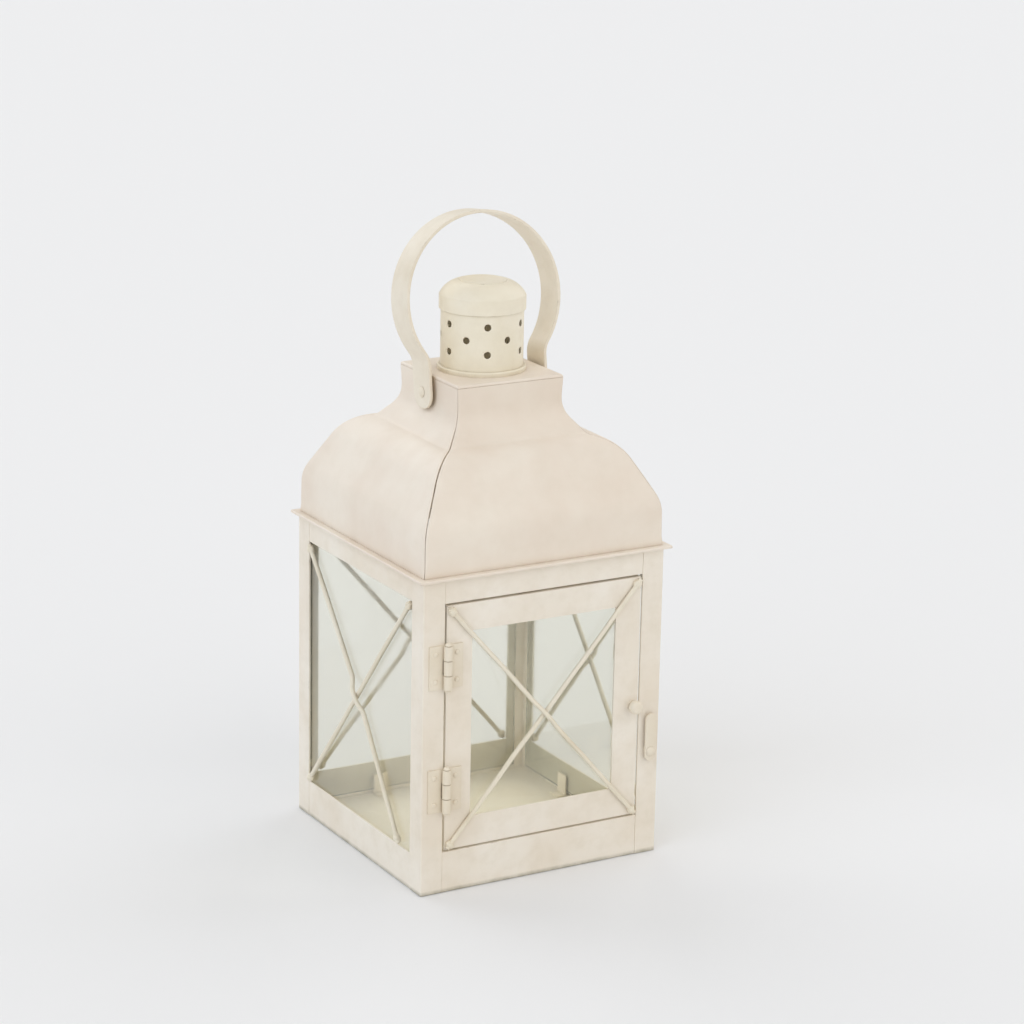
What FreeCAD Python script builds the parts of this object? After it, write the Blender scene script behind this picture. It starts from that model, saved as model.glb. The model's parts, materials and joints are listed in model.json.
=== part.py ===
"""Candle lantern: a square sheet-metal body glazed on four sides, a hinged glazed door with a turn
button, a bell-shaped four-panel roof, a perforated chimney with a domed cap, and a swinging ring handle.

Millimetres, +Z up, the door faces -Y, and the origin is the middle of the underside.
Pieces that repeat round the body are drawn on the front (-Y) side and turned about Z by quarter turns.
"""
import FreeCAD, Part
import math
import os
import Sketcher
from FreeCAD import Placement, Rotation, Vector

doc = FreeCAD.newDocument("candle_lantern")
sheet = doc.addObject("Spreadsheet::Sheet", "dims")
nodes = {}


class Size:
    """A length that keeps both its number and the spreadsheet expression it comes from."""

    def __init__(self, text, value):
        self.text = text
        self.value = value

    def combined(self, sign, other, value):
        return Size("(%s %s %s)" % (self.text, sign, text_of(other)), value)

    def __add__(self, other):
        return self.combined("+", other, self.value + number(other))

    def __sub__(self, other):
        return self.combined("-", other, self.value - number(other))

    def __mul__(self, other):
        return self.combined("*", other, self.value * number(other))

    def __truediv__(self, other):
        return self.combined("/", other, self.value / number(other))

    def __neg__(self):
        return Size("(0 - %s)" % self.text, -self.value)

    def root(self):
        return Size("sqrt(%s)" % self.text, math.sqrt(self.value))


def text_of(length):
    return length.text if isinstance(length, Size) else repr(float(length))


def number(length):
    return length.value if isinstance(length, Size) else float(length)


def size(alias, value, note):
    """Write one driving dimension into the sheet and return it."""
    row = size.row = getattr(size, "row", 1) + 1
    sheet.set("A%d" % row, alias)
    sheet.set("B%d" % row, repr(value))
    sheet.setAlias("B%d" % row, alias)
    sheet.set("C%d" % row, note)
    return Size("dims.%s" % alias, float(value))


# ---- driving dimensions -------------------------------------------------------------------------

# body frame
body_width = size("body_width", 125.0, "outside width and depth of the square body")
body_height = size("body_height", 148.5, "underside to the top of the posts")
sheet_gauge = size("sheet_gauge", 1.0, "thickness of the folded sheet metal")
post_leg = size("post_leg", 11.0, "width of each leg of the corner angles")
post_bend = size("post_bend", 0.7, "outside bend radius of the corner angles")
rail_setback = size("rail_setback", 0.2, "how far the rails sit behind the faces of the posts")
side_rail = size("side_rail", 17.5, "height of the bottom rail on the three fixed sides")
door_sill = size("door_sill", 19.5, "height of the bottom rail under the door")
top_rail = size("top_rail", 11.2, "height of the top rails")
rail_lip = size("rail_lip", 4.0, "depth of the folded lip round the doorway")
floor_gauge = size("floor_gauge", 1.2, "thickness of the floor plate")

# fixed panes
glass_gauge = size("glass_gauge", 2.0, "thickness of the glass")
pane_lap = size("pane_lap", 4.0, "how far a fixed pane passes behind each post")
pane_foot = size("pane_foot", 3.5, "height of the bottom edge of a fixed pane")
pane_head = size("pane_head", 6.0, "gap over the top edge of a fixed pane")
clip_width = size("clip_width", 7.5, "width of a glass clip")
clip_gauge = size("clip_gauge", 0.8, "thickness of a glass clip")
clip_rise = size("clip_rise", 10.5, "height of the upright of a glass clip")
clip_foot = size("clip_foot", 5.0, "length of the soldered foot of a glass clip")
clip_offset = size("clip_offset", 18.4, "glass clip to the middle of its pane")

# crossed guard wires
wire_radius = size("wire_radius", 1.1, "radius of the guard wires")
wire_contact = size("wire_contact", 0.05, "clearance where one guard wire passes over the other")
hop_top = size("hop_top", 3.0, "half length of the raised part of the upper wire")
hop_foot = size("hop_foot", 9.0, "where the upper wire starts to rise, from the crossing")
hop_bend = size("hop_bend", 5.0, "bend radius of the upper wire")
short_wire = size("short_wire", 9.6, "how far short of its corner the left side's upper wire is soldered")

# door
door_gap = size("door_gap", 1.0, "gap round the door")
door_stile = size("door_stile", 13.0, "face width of the door stiles and of its top rail")
door_bottom = size("door_bottom", 14.5, "face width of the bottom rail of the door")
door_flange = size("door_flange", 5.0, "depth of the folded edge round the door")
mitre_gap = size("mitre_gap", 0.2, "width of the seams at the door's mitres")
door_glass_lap = size("door_glass_lap", 5.0, "how far the door glass passes behind the frame")
door_clip_below = size("door_clip_below", 17.5, "lower door glass clips below the knob")
door_clip_above = size("door_clip_above", 26.8, "upper door glass clips above the knob")
door_clip_reach = size("door_clip_reach", 4.0, "length of each leg of a door glass clip")

# hinges
hinge_height = size("hinge_height", 20.5, "height of a hinge")
hinge_low = size("hinge_low", 19.0, "lower hinge above the bottom of the door")
hinge_high = size("hinge_high", 17.8, "upper hinge below the top of the door")
leaf_width = size("leaf_width", 8.5, "hinge axis to the far edge of a leaf")
leaf_gauge = size("leaf_gauge", 0.8, "thickness of a hinge leaf")
knuckle_radius = size("knuckle_radius", 2.0, "outside radius of the hinge knuckles")
knuckle_stand = size("knuckle_stand", 0.4, "gap between a knuckle and the face behind it")
knuckle_gap = size("knuckle_gap", 0.3, "end gap between knuckles")
leaf_relief = size("leaf_relief", 1.9, "how far a leaf stands clear of the other leaf's knuckles")
pin_radius = size("pin_radius", 0.9, "radius of the hinge pins")
pin_head = size("pin_head", 1.6, "radius of the hinge pin heads")
running_fit = size("running_fit", 0.06, "radial clearance of pins and rivets in their holes")
end_float = size("end_float", 0.1, "axial clearance beside a turning piece")

# turn button and door knob
button_width = size("button_width", 5.6, "width of the turn button")
button_gauge = size("button_gauge", 1.2, "thickness of the turn button")
button_arm = size("button_arm", 18.5, "turn button pivot to its tip")
button_tail = size("button_tail", 4.5, "turn button pivot to its short end")
button_drop = size("button_drop", 23.5, "turn button pivot below the door knob")
button_stand = size("button_stand", 1.3, "gap under the turn button, so that it passes over the door")
rivet_radius = size("rivet_radius", 1.2, "shank radius of the latch rivet and of the knob")
rivet_head = size("rivet_head", 2.4, "head radius of the latch rivet")
rivet_dome = size("rivet_dome", 1.2, "height of the latch rivet's head")
knob_drop = size("knob_drop", 3.9, "door knob below the middle of the door")
knob_inset = size("knob_inset", 3.1, "door knob's axis to the edge of the door")
knob_radius = size("knob_radius", 3.2, "radius of the door knob")
knob_length = size("knob_length", 6.0, "how far the door knob stands out")
knob_crown = size("knob_crown", 4.5, "thickness of the knob's head")
knob_round = size("knob_round", 1.9, "rounding of the knob's head")
knob_tail = size("knob_tail", 1.9, "radius of the knob's closed end behind the stile")
tail_gauge = size("tail_gauge", 0.8, "thickness of the closed ends of rivets and of washers")

# roof
brim_overhang = size("brim_overhang", 2.9, "how far the brim passes the body")
brim_gauge = size("brim_gauge", 1.4, "thickness of the brim")
brim_land = size("brim_land", 7.5, "face of the body to the opening in the brim")
roof_inset = size("roof_inset", 0.4, "foot of the roof to the face of the body")
skirt_rise = size("skirt_rise", 20.1, "brim to the line where the skirt meets the shoulder")
skirt_draw = size("skirt_draw", 0.3, "how far the skirt leans in over its height")
shoulder_rise = size("shoulder_rise", 28.0, "height of the shoulder")
ledge_width = size("ledge_width", 10.5, "width of the ledge between shoulder and flare")
ledge_rise = size("ledge_rise", 1.9, "height of the ledge's slope")
flare_width = size("flare_width", 8.8, "width of the flare at the foot of the neck")
flare_rise = size("flare_rise", 9.8, "height of the flare")
neck_half = size("neck_half", 27.5, "half width of the square neck")
neck_rise = size("neck_rise", 16.5, "height of the neck over the flare")
skirt_bend = size("skirt_bend", 20.0, "bend radius between skirt and shoulder")
shoulder_bend = size("shoulder_bend", 20.0, "bend radius between shoulder and ledge")
ledge_bend = size("ledge_bend", 4.0, "bend radius between ledge and flare")
flare_bend = size("flare_bend", 14.0, "bend radius between flare and neck")
hip_seam = size("hip_seam", 0.6, "width of the seams along the hips")
neck_cap_gauge = size("neck_cap_gauge", 1.4, "thickness of the plate that closes the neck")
edge_round = size("edge_round", 0.5, "rounding of exposed plate edges")

# chimney
chimney_radius = size("chimney_radius", 19.1, "outside radius of the chimney tube")
chimney_gauge = size("chimney_gauge", 0.8, "wall of the chimney tube and of its cap")
chimney_height = size("chimney_height", 34.6, "height of the chimney tube")
collar_width = size("collar_width", 1.3, "width of the collar round the chimney's foot")
collar_height = size("collar_height", 2.2, "height of that collar")
vent_radius = size("vent_radius", 1.6, "radius of the vent holes")
vent_first = size("vent_first", 10.1, "lowest row of vents above the neck")
vent_step = size("vent_step", 6.35, "height between rows of vents")
vent_turn = size("vent_turn", -21.5, "turn of the vent rows about the axis, in degrees")
cap_clearance = size("cap_clearance", 0.1, "radial clearance between the cap and the tube")
cap_skirt = size("cap_skirt", 6.4, "height of the cap's straight skirt")
cap_crown = size("cap_crown", 6.8, "height of the cap's dome above its skirt")
cap_flat = size("cap_flat", 10.8, "radius of the cap's flat top")
cap_dome_bend = size("cap_dome_bend", 12.0, "radius of the dome's curve")
cap_groove = size("cap_groove", 0.5, "width and depth of the groove round the flat top")

# ring handle
ring_radius = size("ring_radius", 40.0, "outside radius of the ring")
strip_width = size("strip_width", 16.0, "width of the handle strip")
strip_gauge = size("strip_gauge", 1.5, "thickness of the handle strip")
ring_rise = size("ring_rise", 40.7, "pivot to the middle of the ring")
ring_ankle = size("ring_ankle", 10.0, "outside bend radius between ring and lug")
lug_drop = size("lug_drop", 7.7, "how far the lugs reach below the pivot")
lug_stand = size("lug_stand", 1.9, "gap between a lug and the neck")
pivot_drop = size("pivot_drop", 8.2, "handle pivot below the top of the neck")
pivot_radius = size("pivot_radius", 1.5, "shank radius of the handle rivets")
pivot_head = size("pivot_head", 2.6, "head radius of the handle rivets")
pivot_dome = size("pivot_dome", 1.4, "height of the handle rivets' heads")
spacer_radius = size("spacer_radius", 2.8, "outside radius of the handle spacers")
handle_lean = size("handle_lean", 8.0, "how far the handle leans back at rest, in degrees")

doc.recompute()
zero = Size("0", 0.0)
near = 0.01  # tolerance when edges are picked by where they lie
vent_count = 18

# ---- sizes that follow from the driving ones ----------------------------------------------------

half_body = body_width / 2
glass_face = half_body - sheet_gauge
doorway_half = half_body - post_leg
doorway_top = body_height - top_rail
door_half = doorway_half - door_gap
door_foot = door_sill + door_gap
door_head = doorway_top - door_gap
sash_half = door_half - door_stile
sash_foot = door_foot + door_bottom
sash_head = door_head - door_stile
hinge_x = -(doorway_half - door_gap / 2)
hinge_y = -(half_body + knuckle_stand + knuckle_radius)
knuckle_height = (hinge_height - knuckle_gap * 2) / 3
button_x = half_body - post_leg / 2
knob_x = door_half - knob_inset
knob_z = (door_foot + door_head) / 2 - knob_drop
button_pivot_z = knob_z - button_drop
brim_top = body_height + brim_gauge
skirt_top = brim_top + skirt_rise
ledge_out = neck_half + flare_width + ledge_width
ledge_out_z = skirt_top + shoulder_rise
ledge_in = neck_half + flare_width
ledge_in_z = ledge_out_z + ledge_rise
neck_foot_z = ledge_in_z + flare_rise
neck_top_z = neck_foot_z + neck_rise
pivot_z = neck_top_z - pivot_drop
lug_inside = neck_half + lug_stand
lug_outside = lug_inside + strip_gauge
cap_radius = chimney_radius + cap_clearance + chimney_gauge
cap_foot_z = neck_top_z + chimney_height - cap_skirt


# ---- drawing helpers ----------------------------------------------------------------------------

def keep(label, thing):
    """Record a finished sub-part under the name of its file."""
    thing.Label = label
    nodes[label] = thing
    return thing


def new_body(name, quarter_turns=0):
    body = doc.addObject("PartDesign::Body", name)
    body.Placement = Placement(Vector(), Rotation(Vector(0, 0, 1), 90 * quarter_turns))
    return body


def place(thing, x, y, z, rotation=Rotation()):
    """Put a sub-part's own origin at a point that follows the sheet."""
    thing.Placement = Placement(Vector(number(x), number(y), number(z)), rotation)
    for axis, length in (("x", x), ("y", y), ("z", z)):
        if isinstance(length, Size):
            thing.setExpression("Placement.Base.%s" % axis, length.text)


def new_sketch(body, name, role, offset=0.0):
    """Attach a sketch to one of the body's own origin planes, moved along the plane's normal."""
    sketch = body.newObject("Sketcher::SketchObject", name)
    plane = [item for item in body.Origin.OriginFeatures if item.Role == role][0]
    sketch.AttachmentSupport = [(plane, "")]
    sketch.MapMode = "FlatFace"
    sketch.AttachmentOffset = Placement(Vector(0, 0, number(offset)), Rotation())
    if isinstance(offset, Size):
        sketch.setExpression("AttachmentOffset.Base.z", offset.text)
    return sketch


def constrain(sketch, constraint, length):
    index = sketch.addConstraint(constraint)
    if isinstance(length, Size):
        sketch.setExpression("Constraints[%d]" % index, length.text)


def pin_point(sketch, edge, end, u, v):
    """Fix a sketch point by its two coordinates."""
    for kind, axis, length in (("DistanceX", -2, u), ("DistanceY", -1, v)):
        if number(length) == 0:
            sketch.addConstraint(Sketcher.Constraint("PointOnObject", edge, end, axis))
        else:
            constrain(sketch, Sketcher.Constraint(kind, edge, end, number(length)), length)


def arc_between(start, end, radius):
    """The short arc from start to end; its middle is on the left of travel when radius is positive."""
    if radius < 0:
        start, end = end, start
    chord = end - start
    normal = Vector(-chord.y, chord.x, 0).normalize()
    rise = math.sqrt(radius ** 2 - (chord.Length / 2) ** 2)
    middle = start + chord * 0.5 + normal * rise
    first = math.atan2(start.y - middle.y, start.x - middle.x)
    last = math.atan2(end.y - middle.y, end.x - middle.x)
    if last < first:
        last += 2 * math.pi
    return Part.ArcOfCircle(Part.Circle(middle, Vector(0, 0, 1), abs(radius)), first, last)


def outline(sketch, corners):
    """Draw a closed profile. A corner is (u, v), or (u, v, radius) when an arc leaves it."""
    first = len(sketch.Geometry)
    count = len(corners)
    points = [Vector(number(corner[0]), number(corner[1]), 0) for corner in corners]
    ends = []
    for i, corner in enumerate(corners):
        start, end = points[i], points[(i + 1) % count]
        if len(corner) == 2:
            sketch.addGeometry(Part.LineSegment(start, end), False)
            ends.append((1, 2))
        else:
            sketch.addGeometry(arc_between(start, end, number(corner[2])), False)
            ends.append((1, 2) if number(corner[2]) > 0 else (2, 1))
    for i, corner in enumerate(corners):
        following = (i + 1) % count
        sketch.addConstraint(Sketcher.Constraint(
            "Coincident", first + i, ends[i][1], first + following, ends[following][0]))
        pin_point(sketch, first + i, ends[i][0], corner[0], corner[1])
        if len(corner) == 3:
            radius = corner[2] if number(corner[2]) > 0 else -corner[2]
            constrain(sketch, Sketcher.Constraint("Radius", first + i, number(radius)), radius)


def rectangle(sketch, u0, u1, v0, v1):
    outline(sketch, [(u0, v0), (u1, v0), (u1, v1), (u0, v1)])


def circle(sketch, u, v, radius):
    shape = Part.Circle(Vector(number(u), number(v), 0), Vector(0, 0, 1), number(radius))
    edge = sketch.addGeometry(shape, False)
    pin_point(sketch, edge, 3, u, v)
    constrain(sketch, Sketcher.Constraint("Radius", edge, number(radius)), radius)


def pad(body, sketch, length, both_ways=False):
    """Extrude a sketch along its normal, or half each way."""
    feature = body.newObject("PartDesign::Pad", sketch.Name + "_pad")
    feature.Profile = sketch
    feature.Length = number(length)
    if isinstance(length, Size):
        feature.setExpression("Length", length.text)
    feature.Midplane = both_ways
    sketch.Visibility = False
    doc.recompute()
    return feature


def cut_through(body, sketch):
    """Cut a sketch's shape through everything on both sides of its plane."""
    before = body.Shape.Volume
    feature = body.newObject("PartDesign::Pocket", sketch.Name + "_cut")
    feature.Profile = sketch
    feature.Type = "ThroughAll"
    feature.Midplane = True
    doc.recompute()
    if body.Shape.Volume >= before:
        raise RuntimeError("%s cuts nothing" % feature.Name)
    return feature


def revolve(body, sketch):
    """Turn a sketch about its own vertical axis."""
    feature = body.newObject("PartDesign::Revolution", sketch.Name + "_turn")
    feature.Profile = sketch
    feature.ReferenceAxis = (sketch, ["V_Axis"])
    feature.Angle = 360.0
    doc.recompute()
    return feature


def round_edges(body, radius, wanted):
    """Round the edges of the body for which wanted(edge) holds."""
    base = body.Tip
    names = ["Edge%d" % (i + 1) for i, edge in enumerate(base.Shape.Edges) if wanted(edge)]
    if not names:
        raise RuntimeError("%s has no edge to round" % body.Name)
    feature = body.newObject("PartDesign::Fillet", body.Name + "_round%d" % len(body.Group))
    feature.Base = (base, names)
    feature.Radius = number(radius)
    if isinstance(radius, Size):
        feature.setExpression("Radius", radius.text)
    doc.recompute()
    return feature


def is_along(edge, axis):
    """True for a straight edge parallel to an axis."""
    if edge.Curve.TypeId != "Part::GeomLine":
        return False
    direction = edge.Curve.Direction
    return abs(direction.dot(axis)) > 0.9999


def middle_of(edge):
    return edge.valueAt((edge.FirstParameter + edge.LastParameter) / 2)


def distance_out(edge):
    """How far a circular edge lies from the vertical axis."""
    return math.hypot(middle_of(edge).x, middle_of(edge).y)


def group_of(label, members, quarter_turns=0):
    """Several separate solids that share one node."""
    group = doc.addObject("Part::Compound", label)
    group.Links = members
    group.Placement = Placement(Vector(), Rotation(Vector(0, 0, 1), 90 * quarter_turns))
    doc.recompute()
    return keep(label, group)


def mirrored(source, normal):
    """The same piece on the other side of the plane through the origin with this normal."""
    mirror = doc.addObject("Part::Mirroring", source.Name + "_mirrored")
    mirror.Source = source
    mirror.Base = Vector()
    mirror.Normal = normal
    doc.recompute()
    return mirror


def rounded_path(points, radii):
    """Edges of an open path: straight runs joined by tangent arcs of the given corner radii."""
    edges = []
    start = points[0]
    for before, corner, after, radius in zip(points, points[1:], points[2:], radii):
        into = (corner - before).normalize()
        out = (after - corner).normalize()
        turn = into.getAngle(out)
        reach = radius * math.tan(turn / 2)
        arc_start = corner - into * reach
        arc_end = corner + out * reach
        inward = (out - into).normalize()
        arc_middle = corner + inward * (radius / math.cos(turn / 2) - radius)
        edges.append(Part.LineSegment(start, arc_start).toShape())
        edges.append(Part.Arc(arc_start, arc_middle, arc_end).toShape())
        start = arc_end
    edges.append(Part.LineSegment(start, points[-1]).toShape())
    return edges


# ---- body frame ---------------------------------------------------------------------------------

def corner_post(label, quarter_turns):
    """A folded angle from the floor to the brim; the first one stands at the front left."""
    body = new_body(label, quarter_turns)
    outer, inner, leg = -half_body, -glass_face, -doorway_half
    section = new_sketch(body, label + "_section", "XY_Plane")
    wall = [(leg, outer), (leg, inner), (inner, inner), (inner, leg)]
    outline(section, [(outer, outer)] + wall + [(outer, leg)])
    pad(body, section, body_height)
    corner = Vector(outer.value, outer.value, body_height.value / 2)
    round_edges(body, post_bend, lambda edge: (middle_of(edge) - corner).Length < near)
    return keep(label, body)


def rail(label, quarter_turns, foot, head, lip_at=None):
    """A flat strip between two posts; round the doorway it has a folded lip along its inner edge."""
    body = new_body(label, quarter_turns)
    face, back = -(half_body - rail_setback), -glass_face
    section = new_sketch(body, label + "_section", "YZ_Plane")
    lip = -(glass_face - rail_lip)
    if lip_at == "head":
        shelf = head - sheet_gauge
        lipped_side = [(back, foot), (back, shelf), (lip, shelf), (lip, head)]
        outline(section, [(face, foot)] + lipped_side + [(face, head)])
    elif lip_at == "foot":
        shelf = foot + sheet_gauge
        lipped_side = [(lip, foot), (lip, shelf), (back, shelf), (back, head)]
        outline(section, [(face, foot)] + lipped_side + [(face, head)])
    else:
        rectangle(section, face, back, foot, head)
    pad(body, section, doorway_half * 2, both_ways=True)
    return keep(label, body)


def floor_plate():
    """The flat plate inside the foot of the frame that the candle stands on."""
    body = new_body("floor_plate")
    section = new_sketch(body, "floor_outline", "XY_Plane")
    rectangle(section, -glass_face, glass_face, -glass_face, glass_face)
    pad(body, section, floor_gauge)
    return keep("floor_plate", body)


for quarter_turns, corner in enumerate(("front_left", "front_right", "back_right", "back_left")):
    corner_post("corner_post_" + corner, quarter_turns)
rail("bottom_rail_front", 0, zero, door_sill, lip_at="head")
rail("top_rail_front", 0, doorway_top, body_height, lip_at="foot")
fixed_sides = {"right": 1, "back": 2, "left": 3}
for side, quarter_turns in fixed_sides.items():
    rail("bottom_rail_" + side, quarter_turns, zero, side_rail)
    rail("top_rail_" + side, quarter_turns, doorway_top, body_height)
floor_plate()


# ---- fixed panes and their clips ----------------------------------------------------------------

def fixed_pane(label, quarter_turns):
    """Glass behind the posts and rails of one side."""
    body = new_body(label, quarter_turns)
    half = doorway_half + pane_lap
    section = new_sketch(body, label + "_outline", "XZ_Plane", glass_face - glass_gauge)
    rectangle(section, -half, half, pane_foot, body_height - pane_head)
    pad(body, section, glass_gauge)
    return keep(label, body)


def angle_clip(name, foot_z, upward):
    """An L-shaped clip whose foot is soldered to a plate and whose upright holds the pane."""
    body = doc.addObject("PartDesign::Body", name)
    pane_back = -(glass_face - glass_gauge)
    heel = pane_back + clip_gauge
    toe = pane_back + clip_foot
    gauge = clip_gauge if upward else -clip_gauge
    rise = clip_rise if upward else -clip_rise
    section = new_sketch(body, name + "_section", "YZ_Plane", clip_offset - clip_width / 2)
    outline(section, [(pane_back, foot_z), (toe, foot_z), (toe, foot_z + gauge),
                      (heel, foot_z + gauge), (heel, foot_z + rise), (pane_back, foot_z + rise)])
    pad(body, section, clip_width)
    return body


foot_clip = angle_clip("foot_clip", floor_gauge, True)
head_clip = angle_clip("head_clip", body_height, False)
clips = [foot_clip, head_clip]
clips += [mirrored(clip, Vector(1, 0, 0)) for clip in clips]
for side, quarter_turns in fixed_sides.items():
    fixed_pane("glass_" + side, quarter_turns)
    group_of("glass_clips_" + side, clips, quarter_turns)


# ---- crossed guard wires ------------------------------------------------------------------------

def corner_inset(run):
    """From a corner to the middle of a wire's square end, which touches the post and clears the rail."""
    across, rise = abs(run.x) / run.Length, abs(run.z) / run.Length
    return Vector(math.copysign(wire_radius.value * rise, run.x), 0,
                  math.copysign(wire_radius.value * max(rise * rise / across, across), run.z))


def crossing_of(first, second):
    """Where two straight wires, given by their lower and upper ends, cross in front view."""
    run, other = first[1] - first[0], second[1] - second[0]
    apart = second[0] - first[0]
    share = (apart.x * other.z - apart.z * other.x) / (run.x * other.z - run.z * other.x)
    return first[0] + run * share


def guard_wire(label, ends, hop_at, quarter_turns):
    """A round wire between two corners; where hop_at is given it is bent over the other wire."""
    inset = corner_inset(ends[1] - ends[0])
    lower, upper = ends[0] + inset, ends[1] - inset
    along = (upper - lower).normalize()
    points = [lower, upper]
    radii = []
    if hop_at:
        lift = Vector(0, -(2 * wire_radius.value + wire_contact.value), 0)
        raised = [hop_at - along * hop_foot.value, hop_at - along * hop_top.value + lift,
                  hop_at + along * hop_top.value + lift, hop_at + along * hop_foot.value]
        points[1:1] = raised
        radii = [hop_bend.value] * len(raised)
    path = Part.Wire(rounded_path(points, radii))
    profile = Part.Wire([Part.Circle(points[0], along, wire_radius.value).toShape()])
    wire = doc.addObject("Part::Feature", label)
    wire.Shape = path.makePipeShell([profile], True, False)
    wire.Placement = Placement(Vector(), Rotation(Vector(0, 0, 1), 90 * quarter_turns))
    return keep(label, wire)


def crossed_wires(side, quarter_turns, half_run, foot, head, face, shortfall=0.0):
    """The two wires that cross in front of one panel, lying on its face."""
    depth = -(face + wire_radius).value
    left, right = -half_run.value, half_run.value
    under = (Vector(left, depth, foot.value), Vector(right, depth, head.value))
    over = (Vector(right - number(shortfall), depth, foot.value), Vector(left, depth, head.value))
    guard_wire("guard_wire_under_" + side, under, None, quarter_turns)
    guard_wire("guard_wire_over_" + side, over, crossing_of(under, over), quarter_turns)


crossed_wires("right", 1, doorway_half, side_rail, doorway_top, glass_face)
crossed_wires("back", 2, doorway_half, side_rail, doorway_top, glass_face)
crossed_wires("left", 3, doorway_half, side_rail, doorway_top, glass_face, short_wire)


# ---- door ---------------------------------------------------------------------------------------

def door_bar(label, corners, flange):
    """A mitred face strip with a folded flange along its outer edge."""
    body = new_body(label)
    face = new_sketch(body, label + "_face", "XZ_Plane", glass_face)
    outline(face, corners)
    pad(body, face, sheet_gauge)
    fold = new_sketch(body, label + "_flange", "XZ_Plane", half_body - door_flange)
    rectangle(fold, *flange)
    pad(body, fold, door_flange - sheet_gauge)
    return body


def door_frame():
    seam = mitre_gap / 2
    edge = door_half - sheet_gauge
    for label, side in (("door_stile_left", -1), ("door_stile_right", 1)):
        outer, inner = door_half * side, sash_half * side
        corners = [(outer, door_foot + seam), (inner, sash_foot + seam),
                   (inner, sash_head - seam), (outer, door_head - seam)]
        flange = [outer, edge * side, door_foot, door_head]
        stile = door_bar(label, corners, flange)
        if side == 1:
            hole = new_sketch(stile, "knob_hole", "XZ_Plane")
            circle(hole, knob_x, knob_z, rivet_radius + running_fit)
            cut_through(stile, hole)
        keep(label, stile)
    for label, outer, inner, back in (("door_rail_bottom", door_foot, sash_foot, door_foot + sheet_gauge),
                                      ("door_rail_top", door_head, sash_head, door_head - sheet_gauge)):
        corners = [(-(door_half - seam), outer), (door_half - seam, outer),
                   (sash_half - seam, inner), (-(sash_half - seam), inner)]
        keep(label, door_bar(label, corners, [-edge, edge, outer, back]))


def door_glass():
    body = new_body("door_glass")
    half = sash_half + door_glass_lap
    section = new_sketch(body, "door_glass_outline", "XZ_Plane", glass_face - glass_gauge)
    rectangle(section, -half, half, sash_foot - door_glass_lap, sash_head + door_glass_lap)
    pad(body, section, glass_gauge)
    return keep("door_glass", body)


def door_clip(name, z):
    """A stepped clip, soldered to the back of the stile, whose tongue holds the door glass."""
    body = doc.addObject("PartDesign::Body", name)
    edge = sash_half + door_glass_lap
    front = -glass_face
    back = -(glass_face - glass_gauge)
    section = new_sketch(body, name + "_section", "XY_Plane", z - clip_width / 2)
    outline(section, [(edge + door_clip_reach, front), (edge + door_clip_reach, front + clip_gauge),
                      (edge + clip_gauge, front + clip_gauge), (edge + clip_gauge, back + clip_gauge),
                      (edge - door_clip_reach, back + clip_gauge), (edge - door_clip_reach, back),
                      (edge, back), (edge, front)])
    pad(body, section, clip_width)
    return body


door_frame()
door_glass()
door_clips = [door_clip("door_clip_low", knob_z - door_clip_below),
              door_clip("door_clip_high", knob_z + door_clip_above)]
door_clips += [mirrored(clip, Vector(1, 0, 0)) for clip in door_clips]
group_of("door_glass_clips", door_clips)
crossed_wires("door", 0, door_half, door_foot, door_head, half_body)


# ---- hinges -------------------------------------------------------------------------------------

def hinge_leaf(label, foot_z, on_door):
    """One leaf with its knuckles: two on the post, one on the door. Drawn about the hinge axis."""
    body = new_body(label)
    side = 1 if on_door else -1
    first = knuckle_height + knuckle_gap
    second = first + knuckle_height
    relief, edge = leaf_relief * side, leaf_width * side
    plate = new_sketch(body, label + "_plate", "XZ_Plane", -(knuckle_radius + knuckle_stand))
    if on_door:
        knuckles = [first]
        outline(plate, [(edge, zero), (relief, zero), (relief, first), (zero, first),
                        (zero, second), (relief, second), (relief, hinge_height), (edge, hinge_height)])
    else:
        knuckles = [zero, second + knuckle_gap]
        outline(plate, [(edge, zero), (zero, zero), (zero, knuckle_height), (relief, knuckle_height),
                        (relief, second + knuckle_gap), (zero, second + knuckle_gap),
                        (zero, hinge_height), (edge, hinge_height)])
    pad(body, plate, leaf_gauge)
    for count, start in enumerate(knuckles):
        ring = new_sketch(body, "%s_knuckle%d" % (label, count), "XY_Plane", start)
        circle(ring, zero, zero, knuckle_radius)
        pad(body, ring, knuckle_height)
    bore = new_sketch(body, label + "_bore", "XY_Plane")
    circle(bore, zero, zero, pin_radius + running_fit)
    cut_through(body, bore)
    place(body, hinge_x, hinge_y, foot_z)
    return keep(label, body)


def hinge_pin(label, foot_z):
    """A pin with a flat lower head and a domed upper head, free in the knuckles."""
    body = new_body(label)
    lower, upper = -end_float, hinge_height + end_float
    profile = new_sketch(body, label + "_profile", "XZ_Plane")
    outline(profile, [(zero, lower - leaf_gauge), (pin_head, lower - leaf_gauge), (pin_head, lower),
                      (pin_radius, lower), (pin_radius, upper), (pin_head, upper, pin_head),
                      (zero, upper + pin_head)])
    revolve(body, profile)
    place(body, hinge_x, hinge_y, foot_z)
    return keep(label, body)


hinge_feet = {"upper": door_head - hinge_high - hinge_height, "lower": door_foot + hinge_low}
for position, foot_z in hinge_feet.items():
    hinge_leaf("hinge_leaf_post_" + position, foot_z, on_door=False)
    hinge_leaf("hinge_leaf_door_" + position, foot_z, on_door=True)
    hinge_pin("hinge_pin_" + position, foot_z)


# ---- turn button and knob -----------------------------------------------------------------------

towards_front = Rotation(Vector(1, 0, 0), 90)


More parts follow.
